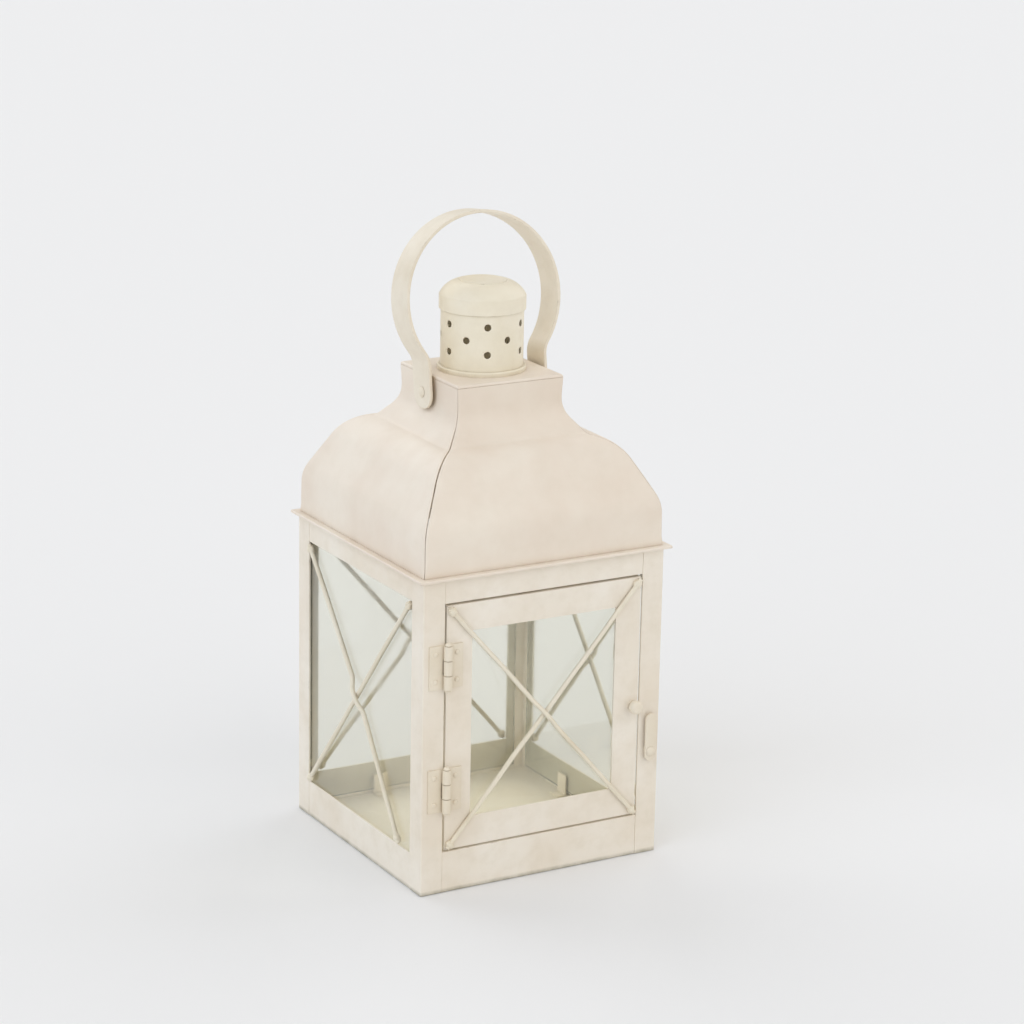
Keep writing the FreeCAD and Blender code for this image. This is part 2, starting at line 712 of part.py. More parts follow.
def turn_button():
    """A flat bar on the post that turns over the edge of the door; it stands upright at rest."""
    body = new_body("turn_button")
    half = button_width / 2
    face = new_sketch(body, "turn_button_face", "XZ_Plane")
    rectangle(face, -half, half, -button_tail, button_arm)
    pad(body, face, button_gauge)
    bore = new_sketch(body, "turn_button_bore", "XZ_Plane")
    circle(bore, zero, zero, rivet_radius + running_fit)
    cut_through(body, bore)
    round_edges(body, half - edge_round / 2, lambda edge: is_along(edge, Vector(0, 1, 0)))
    round_edges(body, edge_round / 2, lambda edge: middle_of(edge).y < -button_gauge.value + near
                and abs(middle_of(edge).x) > half.value / 3)
    place(body, button_x, -(half_body + button_stand), button_pivot_z)
    return keep("turn_button", body)


def latch_rivet():
    """The rivet that the turn button turns on, with a closed head behind the post."""
    body = new_body("turn_button_rivet")
    tail = -(sheet_gauge + tail_gauge)
    grip = button_stand + button_gauge + end_float
    profile = new_sketch(body, "turn_button_rivet_profile", "XZ_Plane")
    dome = (rivet_head * rivet_head + rivet_dome * rivet_dome) / (rivet_dome * 2)
    outline(profile, [(zero, tail), (rivet_head, tail), (rivet_head, -sheet_gauge),
                      (rivet_radius, -sheet_gauge), (rivet_radius, grip), (rivet_head, grip, dome),
                      (zero, grip + rivet_dome)])
    revolve(body, profile)
    place(body, button_x, -half_body, button_pivot_z, towards_front)
    return keep("turn_button_rivet", body)


def washer(label, outer, inner, thickness):
    body = new_body(label)
    ring = new_sketch(body, label + "_ring", "XY_Plane")
    circle(ring, zero, zero, outer)
    circle(ring, zero, zero, inner)
    pad(body, ring, thickness)
    return body


def door_knob():
    """A small turned pull whose shank is riveted through the stile."""
    body = new_body("door_knob")
    tail = -(sheet_gauge + tail_gauge)
    waist = knob_length - knob_crown
    profile = new_sketch(body, "door_knob_profile", "XZ_Plane")
    outline(profile, [(zero, tail), (knob_tail, tail), (knob_tail, -sheet_gauge),
                      (rivet_radius, -sheet_gauge), (rivet_radius, zero), (rivet_head, zero),
                      (rivet_head, tail_gauge), (rivet_radius, tail_gauge), (rivet_radius, waist),
                      (knob_radius, waist), (knob_radius, knob_length), (zero, knob_length)])
    revolve(body, profile)
    round_edges(body, knob_round, lambda edge: middle_of(edge).z > waist.value - near
                and distance_out(edge) > knob_radius.value - near)
    place(body, knob_x, -half_body, knob_z, towards_front)
    return keep("door_knob", body)


turn_button()
latch_rivet()
latch_washer = washer("turn_button_washer", rivet_head, rivet_radius + running_fit, button_stand - end_float)
place(latch_washer, button_x, -half_body, button_pivot_z, towards_front)
keep("turn_button_washer", latch_washer)
door_knob()
latch_post = nodes["corner_post_front_right"]
rivet_hole = new_sketch(latch_post, "turn_button_rivet_hole", "YZ_Plane")
circle(rivet_hole, -button_x, button_pivot_z, rivet_radius + running_fit)
cut_through(latch_post, rivet_hole)


# ---- roof ---------------------------------------------------------------------------------------

def roof_brim():
    """A flat square ring on the posts that carries the roof and overhangs the body."""
    body = new_body("roof_brim")
    outer = half_body + brim_overhang
    section = new_sketch(body, "roof_brim_outline", "XY_Plane", body_height)
    inner = half_body - brim_land
    rectangle(section, -outer, outer, -outer, outer)
    rectangle(section, -inner, inner, -inner, inner)
    pad(body, section, brim_gauge)
    rim = outer.value - near
    round_edges(body, edge_round, lambda edge: max(abs(middle_of(edge).x), abs(middle_of(edge).y)) > rim)
    return keep("roof_brim", body)


def roof_profile():
    """Outer line of the roof from the brim to the neck plate, in the YZ plane on the front side."""
    foot = half_body - roof_inset
    corners = [(foot, brim_top), (foot - skirt_draw, skirt_top), (ledge_out, ledge_out_z),
               (ledge_in, ledge_in_z), (neck_half, neck_foot_z), (neck_half, neck_top_z - neck_cap_gauge)]
    radii = [skirt_bend.value, shoulder_bend.value, ledge_bend.value, flare_bend.value]
    return Part.Wire(rounded_path([Vector(0, -out.value, z.value) for out, z in corners], radii))


def roof_panel(label, quarter_turns, has_pivot_hole):
    """One pressed panel, cut along the hips so that a narrow seam stays between neighbours."""
    line = roof_profile()
    strips = [line.makeOffset2D(side * sheet_gauge.value, 2, True, True, False) for side in (1, -1)]
    strip = min(strips, key=lambda face: abs(face.BoundBox.YMin))
    reach = half_body.value + brim_overhang.value
    shell = strip.extrude(Vector(2 * reach, 0, 0)).translated(Vector(-reach, 0, 0))
    apex = hip_seam.value / math.sqrt(2)
    far = reach + apex
    foot_z = brim_top.value
    wedge = Part.makePolygon([Vector(0, -apex, foot_z), Vector(-reach, -far, foot_z),
                              Vector(reach, -far, foot_z), Vector(0, -apex, foot_z)])
    solid = shell.common(Part.Face(wedge).extrude(Vector(0, 0, neck_top_z.value - foot_z)))
    if has_pivot_hole:
        drill = Part.makeCylinder(pivot_radius.value + running_fit.value, reach,
                                  Vector(0, 0, pivot_z.value), Vector(0, -1, 0))
        solid = solid.cut(drill)
    panel = doc.addObject("Part::Feature", label)
    panel.Shape = solid.Solids[0]
    panel.Placement = Placement(Vector(), Rotation(Vector(0, 0, 1), 90 * quarter_turns))
    return keep(label, panel)


def neck_plate():
    """The square plate that closes the neck and carries the chimney."""
    body = new_body("neck_plate")
    section = new_sketch(body, "neck_plate_outline", "XY_Plane", neck_top_z - neck_cap_gauge)
    rectangle(section, -neck_half, neck_half, -neck_half, neck_half)
    circle(section, zero, zero, chimney_radius - chimney_gauge)
    pad(body, section, neck_cap_gauge)
    rim, top = neck_half.value - near, neck_top_z.value - near
    round_edges(body, edge_round * 2, lambda edge: middle_of(edge).z > top
                and max(abs(middle_of(edge).x), abs(middle_of(edge).y)) > rim)
    return keep("neck_plate", body)


roof_brim()
for quarter_turns, side in enumerate(("front", "right", "back", "left")):
    roof_panel("roof_panel_" + side, quarter_turns, has_pivot_hole=side in ("left", "right"))
neck_plate()


# ---- chimney ------------------------------------------------------------------------------------

def chimney_tube():
    """The tube over the neck, with three staggered rows of six vents."""
    body = new_body("chimney_tube")
    wall = new_sketch(body, "chimney_wall", "XY_Plane")
    circle(wall, zero, zero, chimney_radius)
    circle(wall, zero, zero, chimney_radius - chimney_gauge)
    pad(body, wall, chimney_height)
    before = body.Shape.Volume
    rows = []
    for name, role, heights in (("outer_rows", "XZ_Plane", (vent_first, vent_first + vent_step * 2)),
                                ("middle_row", "YZ_Plane", (vent_first + vent_step,))):
        vents = new_sketch(body, name, role)
        for height in heights:
            circle(vents, zero, height, vent_radius)
        row = body.newObject("PartDesign::Pocket", name + "_cut")
        row.Profile = vents
        row.Type = "Length"
        row.Length = chimney_radius.value * 2
        row.setExpression("Length", (chimney_radius * 2).text)
        row.Reversed = True
        doc.recompute()
        rows.append(row)
    vents = body.newObject("PartDesign::PolarPattern", "vents")
    vents.Originals = rows
    vents.Axis = ([item for item in body.Origin.OriginFeatures if item.Role == "Z_Axis"][0], [""])
    vents.Angle = 360.0
    vents.Occurrences = 6
    body.Tip = vents
    doc.recompute()
    plug = math.pi * vent_radius.value ** 2 * chimney_gauge.value
    if abs((before - body.Shape.Volume) / (vent_count * plug) - 1) > 0.05:
        raise RuntimeError("the vents don't all go through the wall")
    place(body, zero, zero, neck_top_z, Rotation(Vector(0, 0, 1), vent_turn.value))
    return keep("chimney_tube", body)


def chimney_collar():
    """The bead soldered round the foot of the tube."""
    body = washer("chimney_collar", chimney_radius + cap_clearance / 2 + collar_width,
                  chimney_radius + cap_clearance / 2, collar_height)
    middle = chimney_radius.value + collar_width.value / 2
    round_edges(body, collar_width / 2, lambda edge: middle_of(edge).z > collar_height.value - near
                and distance_out(edge) > middle)
    place(body, zero, zero, neck_top_z)
    return keep("chimney_collar", body)


def chimney_cap():
    """A domed lid that seats on the tube's top edge, with a groove round its flat top."""
    body = new_body("chimney_cap")
    top = cap_skirt + cap_crown
    under = top - chimney_gauge - cap_groove
    wall_inside = cap_radius - chimney_gauge
    profile = new_sketch(body, "chimney_cap_profile", "XZ_Plane")
    outline(profile, [(wall_inside, zero), (cap_radius, zero), (cap_radius, cap_skirt, cap_dome_bend),
                      (cap_flat + cap_groove, top - cap_groove / 2), (cap_flat, top - cap_groove),
                      (cap_flat, top), (zero, top), (zero, under),
                      (cap_flat - chimney_gauge / 2, under, -(cap_dome_bend - chimney_gauge)),
                      (chimney_radius - chimney_gauge, cap_skirt), (wall_inside, cap_skirt)])
    revolve(body, profile)
    place(body, zero, zero, cap_foot_z)
    return keep("chimney_cap", body)


chimney_tube()
chimney_collar()
chimney_cap()


# ---- ring handle --------------------------------------------------------------------------------

def ring_handle():
    """A flat strip bent into a ring, whose ends turn down as lugs beside the neck. Drawn about its pivot."""
    body = new_body("ring_handle")
    reach = ring_radius + ring_ankle
    ankle_x = lug_outside + ring_ankle
    drop = (reach * reach - ankle_x * ankle_x).root()
    ankle_z = ring_rise - drop
    inner_radius = ring_radius - strip_gauge
    inner_ankle = ring_ankle + strip_gauge
    outer_x, outer_z = ankle_x * ring_radius / reach, ring_rise - drop * ring_radius / reach
    inner_x, inner_z = ankle_x * inner_radius / reach, ring_rise - drop * inner_radius / reach
    top = ring_rise + ring_radius
    face = new_sketch(body, "ring_handle_face", "XZ_Plane")
    outline(face, [(lug_outside, -lug_drop), (lug_outside, ankle_z, -ring_ankle),
                   (outer_x, outer_z, ring_radius), (zero, top, ring_radius),
                   (-outer_x, outer_z, -ring_ankle), (-lug_outside, ankle_z),
                   (-lug_outside, -lug_drop), (-lug_inside, -lug_drop), (-lug_inside, ankle_z, inner_ankle),
                   (-inner_x, inner_z, -inner_radius), (zero, top - strip_gauge, -inner_radius),
                   (inner_x, inner_z, inner_ankle), (lug_inside, ankle_z), (lug_inside, -lug_drop)])
    pad(body, face, strip_width, both_ways=True)
    bores = new_sketch(body, "ring_handle_bores", "YZ_Plane")
    circle(bores, zero, zero, pivot_radius + running_fit)
    cut_through(body, bores)
    round_edges(body, lug_drop - edge_round, lambda edge: is_along(edge, Vector(1, 0, 0))
                and middle_of(edge).z < -lug_drop.value + near)
    place(body, zero, zero, pivot_z, Rotation(Vector(1, 0, 0), -handle_lean.value))
    return keep("ring_handle", body)


def handle_rivets():
    """The two rivets that the handle swings on, with closed heads inside the neck."""
    rivet = new_body("handle_rivet")
    grip = lug_outside + end_float
    tail = neck_half - sheet_gauge
    dome = (pivot_head * pivot_head + pivot_dome * pivot_dome) / (pivot_dome * 2)
    profile = new_sketch(rivet, "handle_rivet_profile", "XZ_Plane")
    outline(profile, [(zero, tail - tail_gauge), (pivot_head, tail - tail_gauge), (pivot_head, tail),
                      (pivot_radius, tail), (pivot_radius, grip), (pivot_head, grip, dome),
                      (zero, grip + pivot_dome)])
    revolve(rivet, profile)
    place(rivet, zero, zero, pivot_z, Rotation(Vector(0, 1, 0), 90))
    return group_of("handle_rivets", [rivet, mirrored(rivet, Vector(1, 0, 0))])


def handle_spacers():
    """The two washers that hold the lugs clear of the flare of the neck."""
    spacer = washer("handle_spacer", spacer_radius, pivot_radius + running_fit, lug_stand - end_float)
    place(spacer, neck_half, zero, pivot_z, Rotation(Vector(0, 1, 0), 90))
    return group_of("handle_spacers", [spacer, mirrored(spacer, Vector(1, 0, 0))])


ring_handle()
handle_rivets()
handle_spacers()


# ---- check and write ----------------------------------------------------------------------------

doc.recompute()
for thing in doc.Objects:
    if "Invalid" in thing.State or "Error" in thing.State:
        raise RuntimeError("%s is %s" % (thing.Name, thing.State))
for label, thing in nodes.items():
    if thing.Shape.isNull() or not thing.Shape.isValid() or not thing.Shape.Solids:
        raise RuntimeError("%s has no sound shape" % label)

os.makedirs("parts", exist_ok=True)
for label, thing in nodes.items():
    thing.Shape.exportStep("parts/%s.step" % label)
print("wrote %d nodes" % len(nodes))
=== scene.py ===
import json
import math

import bmesh
import bpy
from mathutils import Matrix, Vector, noise


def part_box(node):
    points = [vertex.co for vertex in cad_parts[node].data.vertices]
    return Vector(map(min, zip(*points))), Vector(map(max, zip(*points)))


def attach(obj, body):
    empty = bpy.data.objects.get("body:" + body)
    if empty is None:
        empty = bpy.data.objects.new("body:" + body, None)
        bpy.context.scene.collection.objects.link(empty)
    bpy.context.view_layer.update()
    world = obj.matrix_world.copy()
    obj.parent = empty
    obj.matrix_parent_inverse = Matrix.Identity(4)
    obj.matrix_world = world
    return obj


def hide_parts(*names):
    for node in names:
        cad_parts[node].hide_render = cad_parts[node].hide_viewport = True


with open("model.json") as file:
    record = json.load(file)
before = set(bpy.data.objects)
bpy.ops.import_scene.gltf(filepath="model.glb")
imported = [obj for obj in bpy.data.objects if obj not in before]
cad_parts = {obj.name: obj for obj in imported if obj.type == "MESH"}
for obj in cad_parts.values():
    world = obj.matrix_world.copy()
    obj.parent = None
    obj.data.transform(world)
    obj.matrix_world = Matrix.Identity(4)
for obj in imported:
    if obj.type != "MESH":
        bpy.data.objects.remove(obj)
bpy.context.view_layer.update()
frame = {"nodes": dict(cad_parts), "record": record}        # frame["bodies"], ["nodes"], ["joints"], ["record"]
mm = 0.001
print("frame loaded:", len(frame["nodes"]), "nodes")

record = frame["record"]
bodyOfNode = {node: body for body, nodes in record["behaviour"]["bodies"].items() for node in nodes}
slotOfNode = {part["node"]: part["material_slot"] for part in record["subparts"]}


def linear(hexColour):
    channels = [int(hexColour[i:i + 2], 16) / 255 for i in (0, 2, 4)]
    return [c / 12.92 if c <= 0.04045 else ((c + 0.055) / 1.055) ** 2.4 for c in channels] + [1.0]


def perMillimetre(size):
    return 1 / (size * mm)      # a texture's scale for features of that many millimetres


def addNode(tree, kind, inputs=None, **settings):
    node = tree.nodes.new(kind)
    for name, value in settings.items():
        setattr(node, name, value)
    for name, value in (inputs or {}).items():
        if isinstance(value, bpy.types.NodeSocket):
            tree.links.new(value, node.inputs[name])
        else:
            node.inputs[name].default_value = value
    return node


def newMaterial(name):
    material = bpy.data.materials.new(name)
    material.use_nodes = True
    material.node_tree.nodes.clear()
    return material


def showOn(obj, material, *nodes):
    # one material, the CAD nodes it stands for and the body that carries it
    if obj.data.materials:
        for index in range(len(obj.data.materials)):
            obj.data.materials[index] = material
    else:
        obj.data.materials.append(material)
    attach(obj, bodyOfNode[nodes[0]])
    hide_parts(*nodes)
    return obj


def linkMesh(name, mesh):
    obj = bpy.data.objects.new(name, mesh)
    bpy.context.scene.collection.objects.link(obj)
    return obj


# Sprayed satin enamel over steel sheet: a soft broad shine, cream that drifts a little in tone,
# thin brown dirt mixed with painted shade where pieces meet, a painted contact shadow along the foot, and
# rubbed spots along the folded edges. Sizes are in mm.
enamel = dict(
    driftSize=38, dirtAndShadeReach=4.0, dirtSize=9, rubSize=7, footLine=2.2, dentSize=24,
    orangePeel=1.3, peelDepth=0.05,         # the film's own ripple
    # the corner colour below is brown dirt with painted shade; the foot colour is a painted contact shadow
    dull="D3C7AF", dirtAndShadeTone="A58F70", footShadowTone="8F8B74", rub="8D7B62", roughness=(0.42, 0.56),
)
# each paint's shares of corner dirt with painted shade, and of the painted contact shadow at the foot
enamelTones = {
    "frame_paint": dict(
        light="F4EDE0", warm="ECE1CF", dullShare=0.22, dirtAndShadeShare=0.50, dentDepth=0.18,
        footShadowShare=0.9, ownCorners=True),
    "roof_paint": dict(
        light="F1E7D8", warm="EADCCB", dullShare=0.09, dirtAndShadeShare=0.50, dentDepth=0.45),
    "chimney_paint": dict(
        light="F4EDDB", warm="ECE2C9", dullShare=0.16, dirtAndShadeShare=0.70, dentDepth=0.20),
    "floor_paint": dict(
        light="F5EDDD", warm="EBE1CE", dullShare=0.16, dirtAndShadeShare=0.60, dentDepth=0.25, ownCorners=True),
    "wire_paint": dict(
        light="F2EBDA", warm="E6DBC3", dullShare=0.20, dirtAndShadeShare=0.55, dentDepth=0.10),
    "fitting_paint": dict(
        light="F1E9D8", warm="E8DCC6", dullShare=0.22, dirtAndShadeShare=0.45, dentDepth=0.12),
}


def sprayedEnamel(name, tone):
    material = newMaterial(name)
    tree = material.node_tree
    place = addNode(tree, "ShaderNodeTexCoord").outputs["Object"]
    drift = addNode(tree, "ShaderNodeTexNoise", {
        "Vector": place, "Scale": perMillimetre(enamel["driftSize"]), "Detail": 4.0, "Roughness": 0.55})
    driftShare = addNode(tree, "ShaderNodeMapRange", {
        "Value": drift.outputs["Fac"], "From Min": 0.32, "From Max": 0.68})
    paint = addNode(tree, "ShaderNodeMix", {
        0: driftShare.outputs[0], 6: linear(tone["light"]), 7: linear(tone["warm"])}, data_type="RGBA")

    # hand marks and weather leave faint duller patches, a centimetre or so across
    patches = addNode(tree, "ShaderNodeTexNoise", {
        "Vector": place, "Scale": perMillimetre(enamel["dirtSize"]), "Detail": 6.0, "Roughness": 0.65})
    dullShare = addNode(tree, "ShaderNodeMapRange", {
        "Value": patches.outputs["Fac"], "From Min": 0.46, "From Max": 0.72, "To Max": tone["dullShare"]})
    dulled = addNode(tree, "ShaderNodeMix", {
        0: dullShare.outputs[0], 6: paint.outputs[2], 7: linear(enamel["dull"])}, data_type="RGBA")

    # painted shade mixed with dirt: the paint darkens where the ambient occlusion finds corners and joints,
    # broken up by a patchy noise
    corner = addNode(tree, "ShaderNodeAmbientOcclusion", {
        "Distance": enamel["dirtAndShadeReach"] * mm}, samples=8, only_local=tone.get("ownCorners", False))
    closed = addNode(tree, "ShaderNodeMapRange", {
        "Value": corner.outputs["AO"], "From Min": 0.82, "From Max": 0.25, "To Max": tone["dirtAndShadeShare"]})
    patchShare = addNode(tree, "ShaderNodeMapRange", {
        "Value": patches.outputs["Fac"], "From Min": 0.3, "From Max": 0.7, "To Min": 0.35, "To Max": 1.0})
    dirtAndShadeShare = addNode(tree, "ShaderNodeMath", {
        0: closed.outputs[0], 1: patchShare.outputs[0]}, operation="MULTIPLY")
    dirtiedAndShaded = addNode(tree, "ShaderNodeMix", {
        0: dirtAndShadeShare.outputs[0], 6: dulled.outputs[2], 7: linear(enamel["dirtAndShadeTone"])}, data_type="RGBA")

    # a thin painted contact shadow along the foot, where the body stands
    height = addNode(tree, "ShaderNodeSeparateXYZ", {0: place}).outputs["Z"]
    foot = addNode(tree, "ShaderNodeMapRange", {
        "Value": height, "From Min": enamel["footLine"] * mm, "From Max": 0.2 * mm,
        "To Max": tone.get("footShadowShare", 0.0)})
    footShadowShare = addNode(tree, "ShaderNodeMath", {
        0: foot.outputs[0], 1: patchShare.outputs[0]}, operation="MULTIPLY")
    footShadowed = addNode(tree, "ShaderNodeMix", {
        0: footShadowShare.outputs[0], 6: dirtiedAndShaded.outputs[2], 7: linear(enamel["footShadowTone"])}, data_type="RGBA")

    # rubbed edges: the piece's edge attribute times a noise that leaves most of the edge whole
    edge = addNode(tree, "ShaderNodeAttribute", attribute_name="edge")
    rubNoise = addNode(tree, "ShaderNodeTexNoise", {
        "Vector": place, "Scale": perMillimetre(enamel["rubSize"]), "Detail": 7.0, "Roughness": 0.7})
    rubSpots = addNode(tree, "ShaderNodeMapRange", {
        "Value": rubNoise.outputs["Fac"], "From Min": 0.56, "From Max": 0.70, "To Max": 0.5})
    rubShare = addNode(tree, "ShaderNodeMath", {
        0: edge.outputs["Fac"], 1: rubSpots.outputs[0]}, operation="MULTIPLY")
    rubbed = addNode(tree, "ShaderNodeMix", {
        0: rubShare.outputs[0], 6: footShadowed.outputs[2], 7: linear(enamel["rub"])}, data_type="RGBA")

    # the sprayed film's peel stands on the sheet's own slow unevenness
    peel = addNode(tree, "ShaderNodeTexNoise", {
        "Vector": place, "Scale": perMillimetre(enamel["orangePeel"]), "Detail": 2.0})
    dents = addNode(tree, "ShaderNodeTexNoise", {
        "Vector": place, "Scale": perMillimetre(enamel["dentSize"]), "Detail": 1.0})
    dented = addNode(tree, "ShaderNodeBump", {
        "Strength": 1.0, "Distance": tone["dentDepth"] * mm, "Height": dents.outputs["Fac"]})
    peeled = addNode(tree, "ShaderNodeBump", {
        "Strength": 0.35, "Distance": enamel["peelDepth"] * mm, "Height": peel.outputs["Fac"],
        "Normal": dented.outputs["Normal"]})
    low, high = enamel["roughness"]
    roughness = addNode(tree, "ShaderNodeMapRange", {
        "Value": patches.outputs["Fac"], "From Min": 0.3, "From Max": 0.7, "To Min": low, "To Max": high})
    shader = addNode(tree, "ShaderNodeBsdfPrincipled", {
        "Base Color": rubbed.outputs[2], "Roughness": roughness.outputs[0],
        "Normal": peeled.outputs["Normal"], "IOR": 1.5, "Coat Weight": 0.12, "Coat Roughness": 0.3})
    addNode(tree, "ShaderNodeOutputMaterial", {"Surface": shader.outputs[0]})
    return material


# Drawn sheet glass: clear with a faint grey-green body, its faces slightly wavy so reflections bend,
# and a thin film of dust that takes the edge off the clearness. Sizes are in mm.
paneGlass = dict(
    tint="F7F7F1", waveSize=45, waveDepth=0.12, dustSize=14, haze=(0.02, 0.07),
    clearance=0.06, edgeRound=0.22,
)


def drawnSheetGlass(name):
    material = newMaterial(name)
    tree = material.node_tree
    place = addNode(tree, "ShaderNodeTexCoord").outputs["Object"]
    wave = addNode(tree, "ShaderNodeTexNoise", {
        "Vector": place, "Scale": perMillimetre(paneGlass["waveSize"]), "Detail": 1.0})
    wavy = addNode(tree, "ShaderNodeBump", {
        "Strength": 0.6, "Distance": paneGlass["waveDepth"] * mm, "Height": wave.outputs["Fac"]})
    dust = addNode(tree, "ShaderNodeTexNoise", {
        "Vector": place, "Scale": perMillimetre(paneGlass["dustSize"]), "Detail": 5.0, "Roughness": 0.6})
    least, most = paneGlass["haze"]
    haze = addNode(tree, "ShaderNodeMapRange", {
        "Value": dust.outputs["Fac"], "From Min": 0.35, "From Max": 0.7, "To Min": least, "To Max": most})
    clear = addNode(tree, "ShaderNodeBsdfPrincipled", {
        "Base Color": linear(paneGlass["tint"]), "Roughness": haze.outputs[0], "IOR": 1.52,
        "Transmission Weight": 1.0, "Normal": wavy.outputs["Normal"]})
    light = addNode(tree, "ShaderNodeLightPath")
    through = addNode(tree, "ShaderNodeBsdfTransparent", {"Color": linear(paneGlass["tint"])})
    seen = addNode(tree, "ShaderNodeMixShader", {
        0: light.outputs["Is Shadow Ray"], 1: clear.outputs[0], 2: through.outputs[0]})
    addNode(tree, "ShaderNodeOutputMaterial", {"Surface": seen.outputs[0]})
    return material


paints = {slot: sprayedEnamel("sprayedCreamEnamel_" + slot, tone) for slot, tone in enamelTones.items()}
glass = drawnSheetGlass("drawnSheetGlass")
print("materials:", len(paints) + 1)


# what a CAD mesh is cleaned to before its edges are rounded: lengths in mm, angles in degrees
cleanUp = dict(mergeWithin=0.002, flatWithin=0.5, sharpAngle=30, shadeAngle=50, roundSegments=2)


def softenEdges(name, work, edgeRound, sharpAngle=cleanUp["sharpAngle"]):
    # rounds every sharp edge and marks the new faces, so that the paint can wear there
    edgeMark = work.loops.layers.float.new("edge")
    sharp = [e for e in work.edges if e.is_manifold and e.calc_face_angle(0) > math.radians(sharpAngle)]
    rounded = bmesh.ops.bevel(
        work, geom=sharp, offset=edgeRound * mm, offset_type="OFFSET", profile=0.5,
        segments=cleanUp["roundSegments"], affect="EDGES", clamp_overlap=True)
    for face in rounded["faces"]:
        for loop in face.loops:
            loop[edgeMark] = 1.0
    for face in work.faces:
        face.smooth = True
    mesh = bpy.data.meshes.new(name)
    work.to_mesh(mesh)
    work.free()
    mesh.set_sharp_from_angle(angle=math.radians(cleanUp["shadeAngle"]))
    obj = linkMesh(name, mesh)
    obj.modifiers.new("evenNormals", "WEIGHTED_NORMAL").keep_sharp = True
    return settled(obj)


def softened(name, node, edgeRound, clearance=0):
    # a copy of a CAD node's mesh, merged into large flat faces and rounded at its edges
    work = bmesh.new()
    work.from_mesh(frame["nodes"][node].data)
    if clearance:
        # the sheet is thinned a little on both faces, so that it lies beside its neighbours, not in them
        low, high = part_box(node)
        thin = min(range(3), key=lambda axis: (high - low)[axis])
        middle, thickness = (low + high)[thin] / 2, (high - low)[thin]
        for vertex in work.verts:
            vertex.co[thin] = middle + (vertex.co[thin] - middle) * (1 - 2 * clearance * mm / thickness)
    bmesh.ops.remove_doubles(work, verts=work.verts, dist=cleanUp["mergeWithin"] * mm)
    bmesh.ops.dissolve_limit(
        work, angle_limit=math.radians(cleanUp["flatWithin"]), verts=work.verts, edges=work.edges)
    return softenEdges(name, work, edgeRound)


def settled(obj):
    # applies what modifiers are left, so that the piece is a plain mesh
    graph = bpy.context.evaluated_depsgraph_get()
    graph.update()
    mesh = bpy.data.meshes.new_from_object(obj.evaluated_get(graph))
    obj.modifiers.clear()
    obj.data = mesh
    return obj


# pieces that keep their CAD shape: edge rounds in mm, by the start of the CAD node's name
edgeRounds = {
    "corner_post": 0.30, "bottom_rail": 0.28, "top_rail": 0.28, "floor_plate": 0.20,
    "door_stile": 0.32, "door_rail": 0.30, "door_knob": 0.18, "hinge_leaf": 0.22, "hinge_pin": 0.22,
    "turn_button": 0.30, "turn_button_washer": 0.10, "turn_button_rivet": 0.12,
    "roof_brim": 0.40, "neck_plate": 0.35, "chimney_collar": 0.28, "chimney_cap": 0.25,
    "ring_handle": 0.35, "handle_rivets": 0.15, "handle_spacers": 0.15,
    "glass_clips": 0.14, "door_glass_clips": 0.14,
}
for node in sorted(frame["nodes"]):
    starts = [start for start in edgeRounds if node.startswith(start)]
    if starts:
        piece = softened("painted_" + node, node, edgeRounds[max(starts, key=len)])
        slot = "chimney_paint" if node.startswith("chimney") else slotOfNode[node]
        showOn(piece, paints[slot], node)
print("softened pieces done")

for node in ("glass_left", "glass_right", "glass_back", "door_glass"):
    pane = softened("glazed_" + node, node, paneGlass["edgeRound"], paneGlass["clearance"])
    showOn(pane, glass, node)
print("panes done")


# the roof: four pressed panels that meet at soldered hips, sizes in mm
roofPanel = dict(
    sheet=1.0, rowStep=2.0, columns=44,
    beside=(2.8, 1.9, 1.2, 0.6, 0.0),       # columns kept at these distances from a hip
    gridMargin=0.9,                         # between those columns and the even ones
    hipRoll=2.2, hipDrop=0.5,               # the sheet turns in a little beside the hip
    gapAt=((150, 0.10), (166, 0.14), (178, 0.40), (197, 0.36), (208, 0.10), (225, 0.03)),
    dentSize=36, dentDepth=0.42, calmFoot=7, calmHead=16, edgeRound=0.16, sharpAngle=40, sameRow=0.02,
)


def outerProfile(node):
    # distance from the axis and height along the middle of a panel's outer face, foot to head
    mesh = frame["nodes"][node].data
    rows = {}
    for polygon in mesh.polygons:
        if polygon.normal.y > -0.05:
            continue
        corners = [mesh.vertices[i].co for i in polygon.vertices]
        for a, b in zip(corners, corners[1:] + corners[:1]):
            for p, q in ((a, b), (b, a)):
                if p.x <= 0 <= q.x and q.x - p.x > 1e-9:
                    point = p.lerp(q, -p.x / (q.x - p.x))
                    rows[round(point.z / (roofPanel["sameRow"] * mm))] = Vector((-point.y, point.z))
    line = [rows[key] for key in sorted(rows)]
    fine = [line[0]]
    for point in line[1:]:
        start = fine[-1]
        steps = max(1, math.ceil((point - start).length / (roofPanel["rowStep"] * mm)))
        fine += [start.lerp(point, (step + 1) / steps) for step in range(steps)]
    return fine


def hipGap(height):
    # half the open joint between two panels, from its width at a few heights
    stops = roofPanel["gapAt"]
    for (z0, gap0), (z1, gap1) in zip(stops, stops[1:]):
        if height <= z1 * mm:
            return (gap0 + (gap1 - gap0) * max(0, (height / mm - z0) / (z1 - z0))) * mm
    return stops[-1][1] * mm


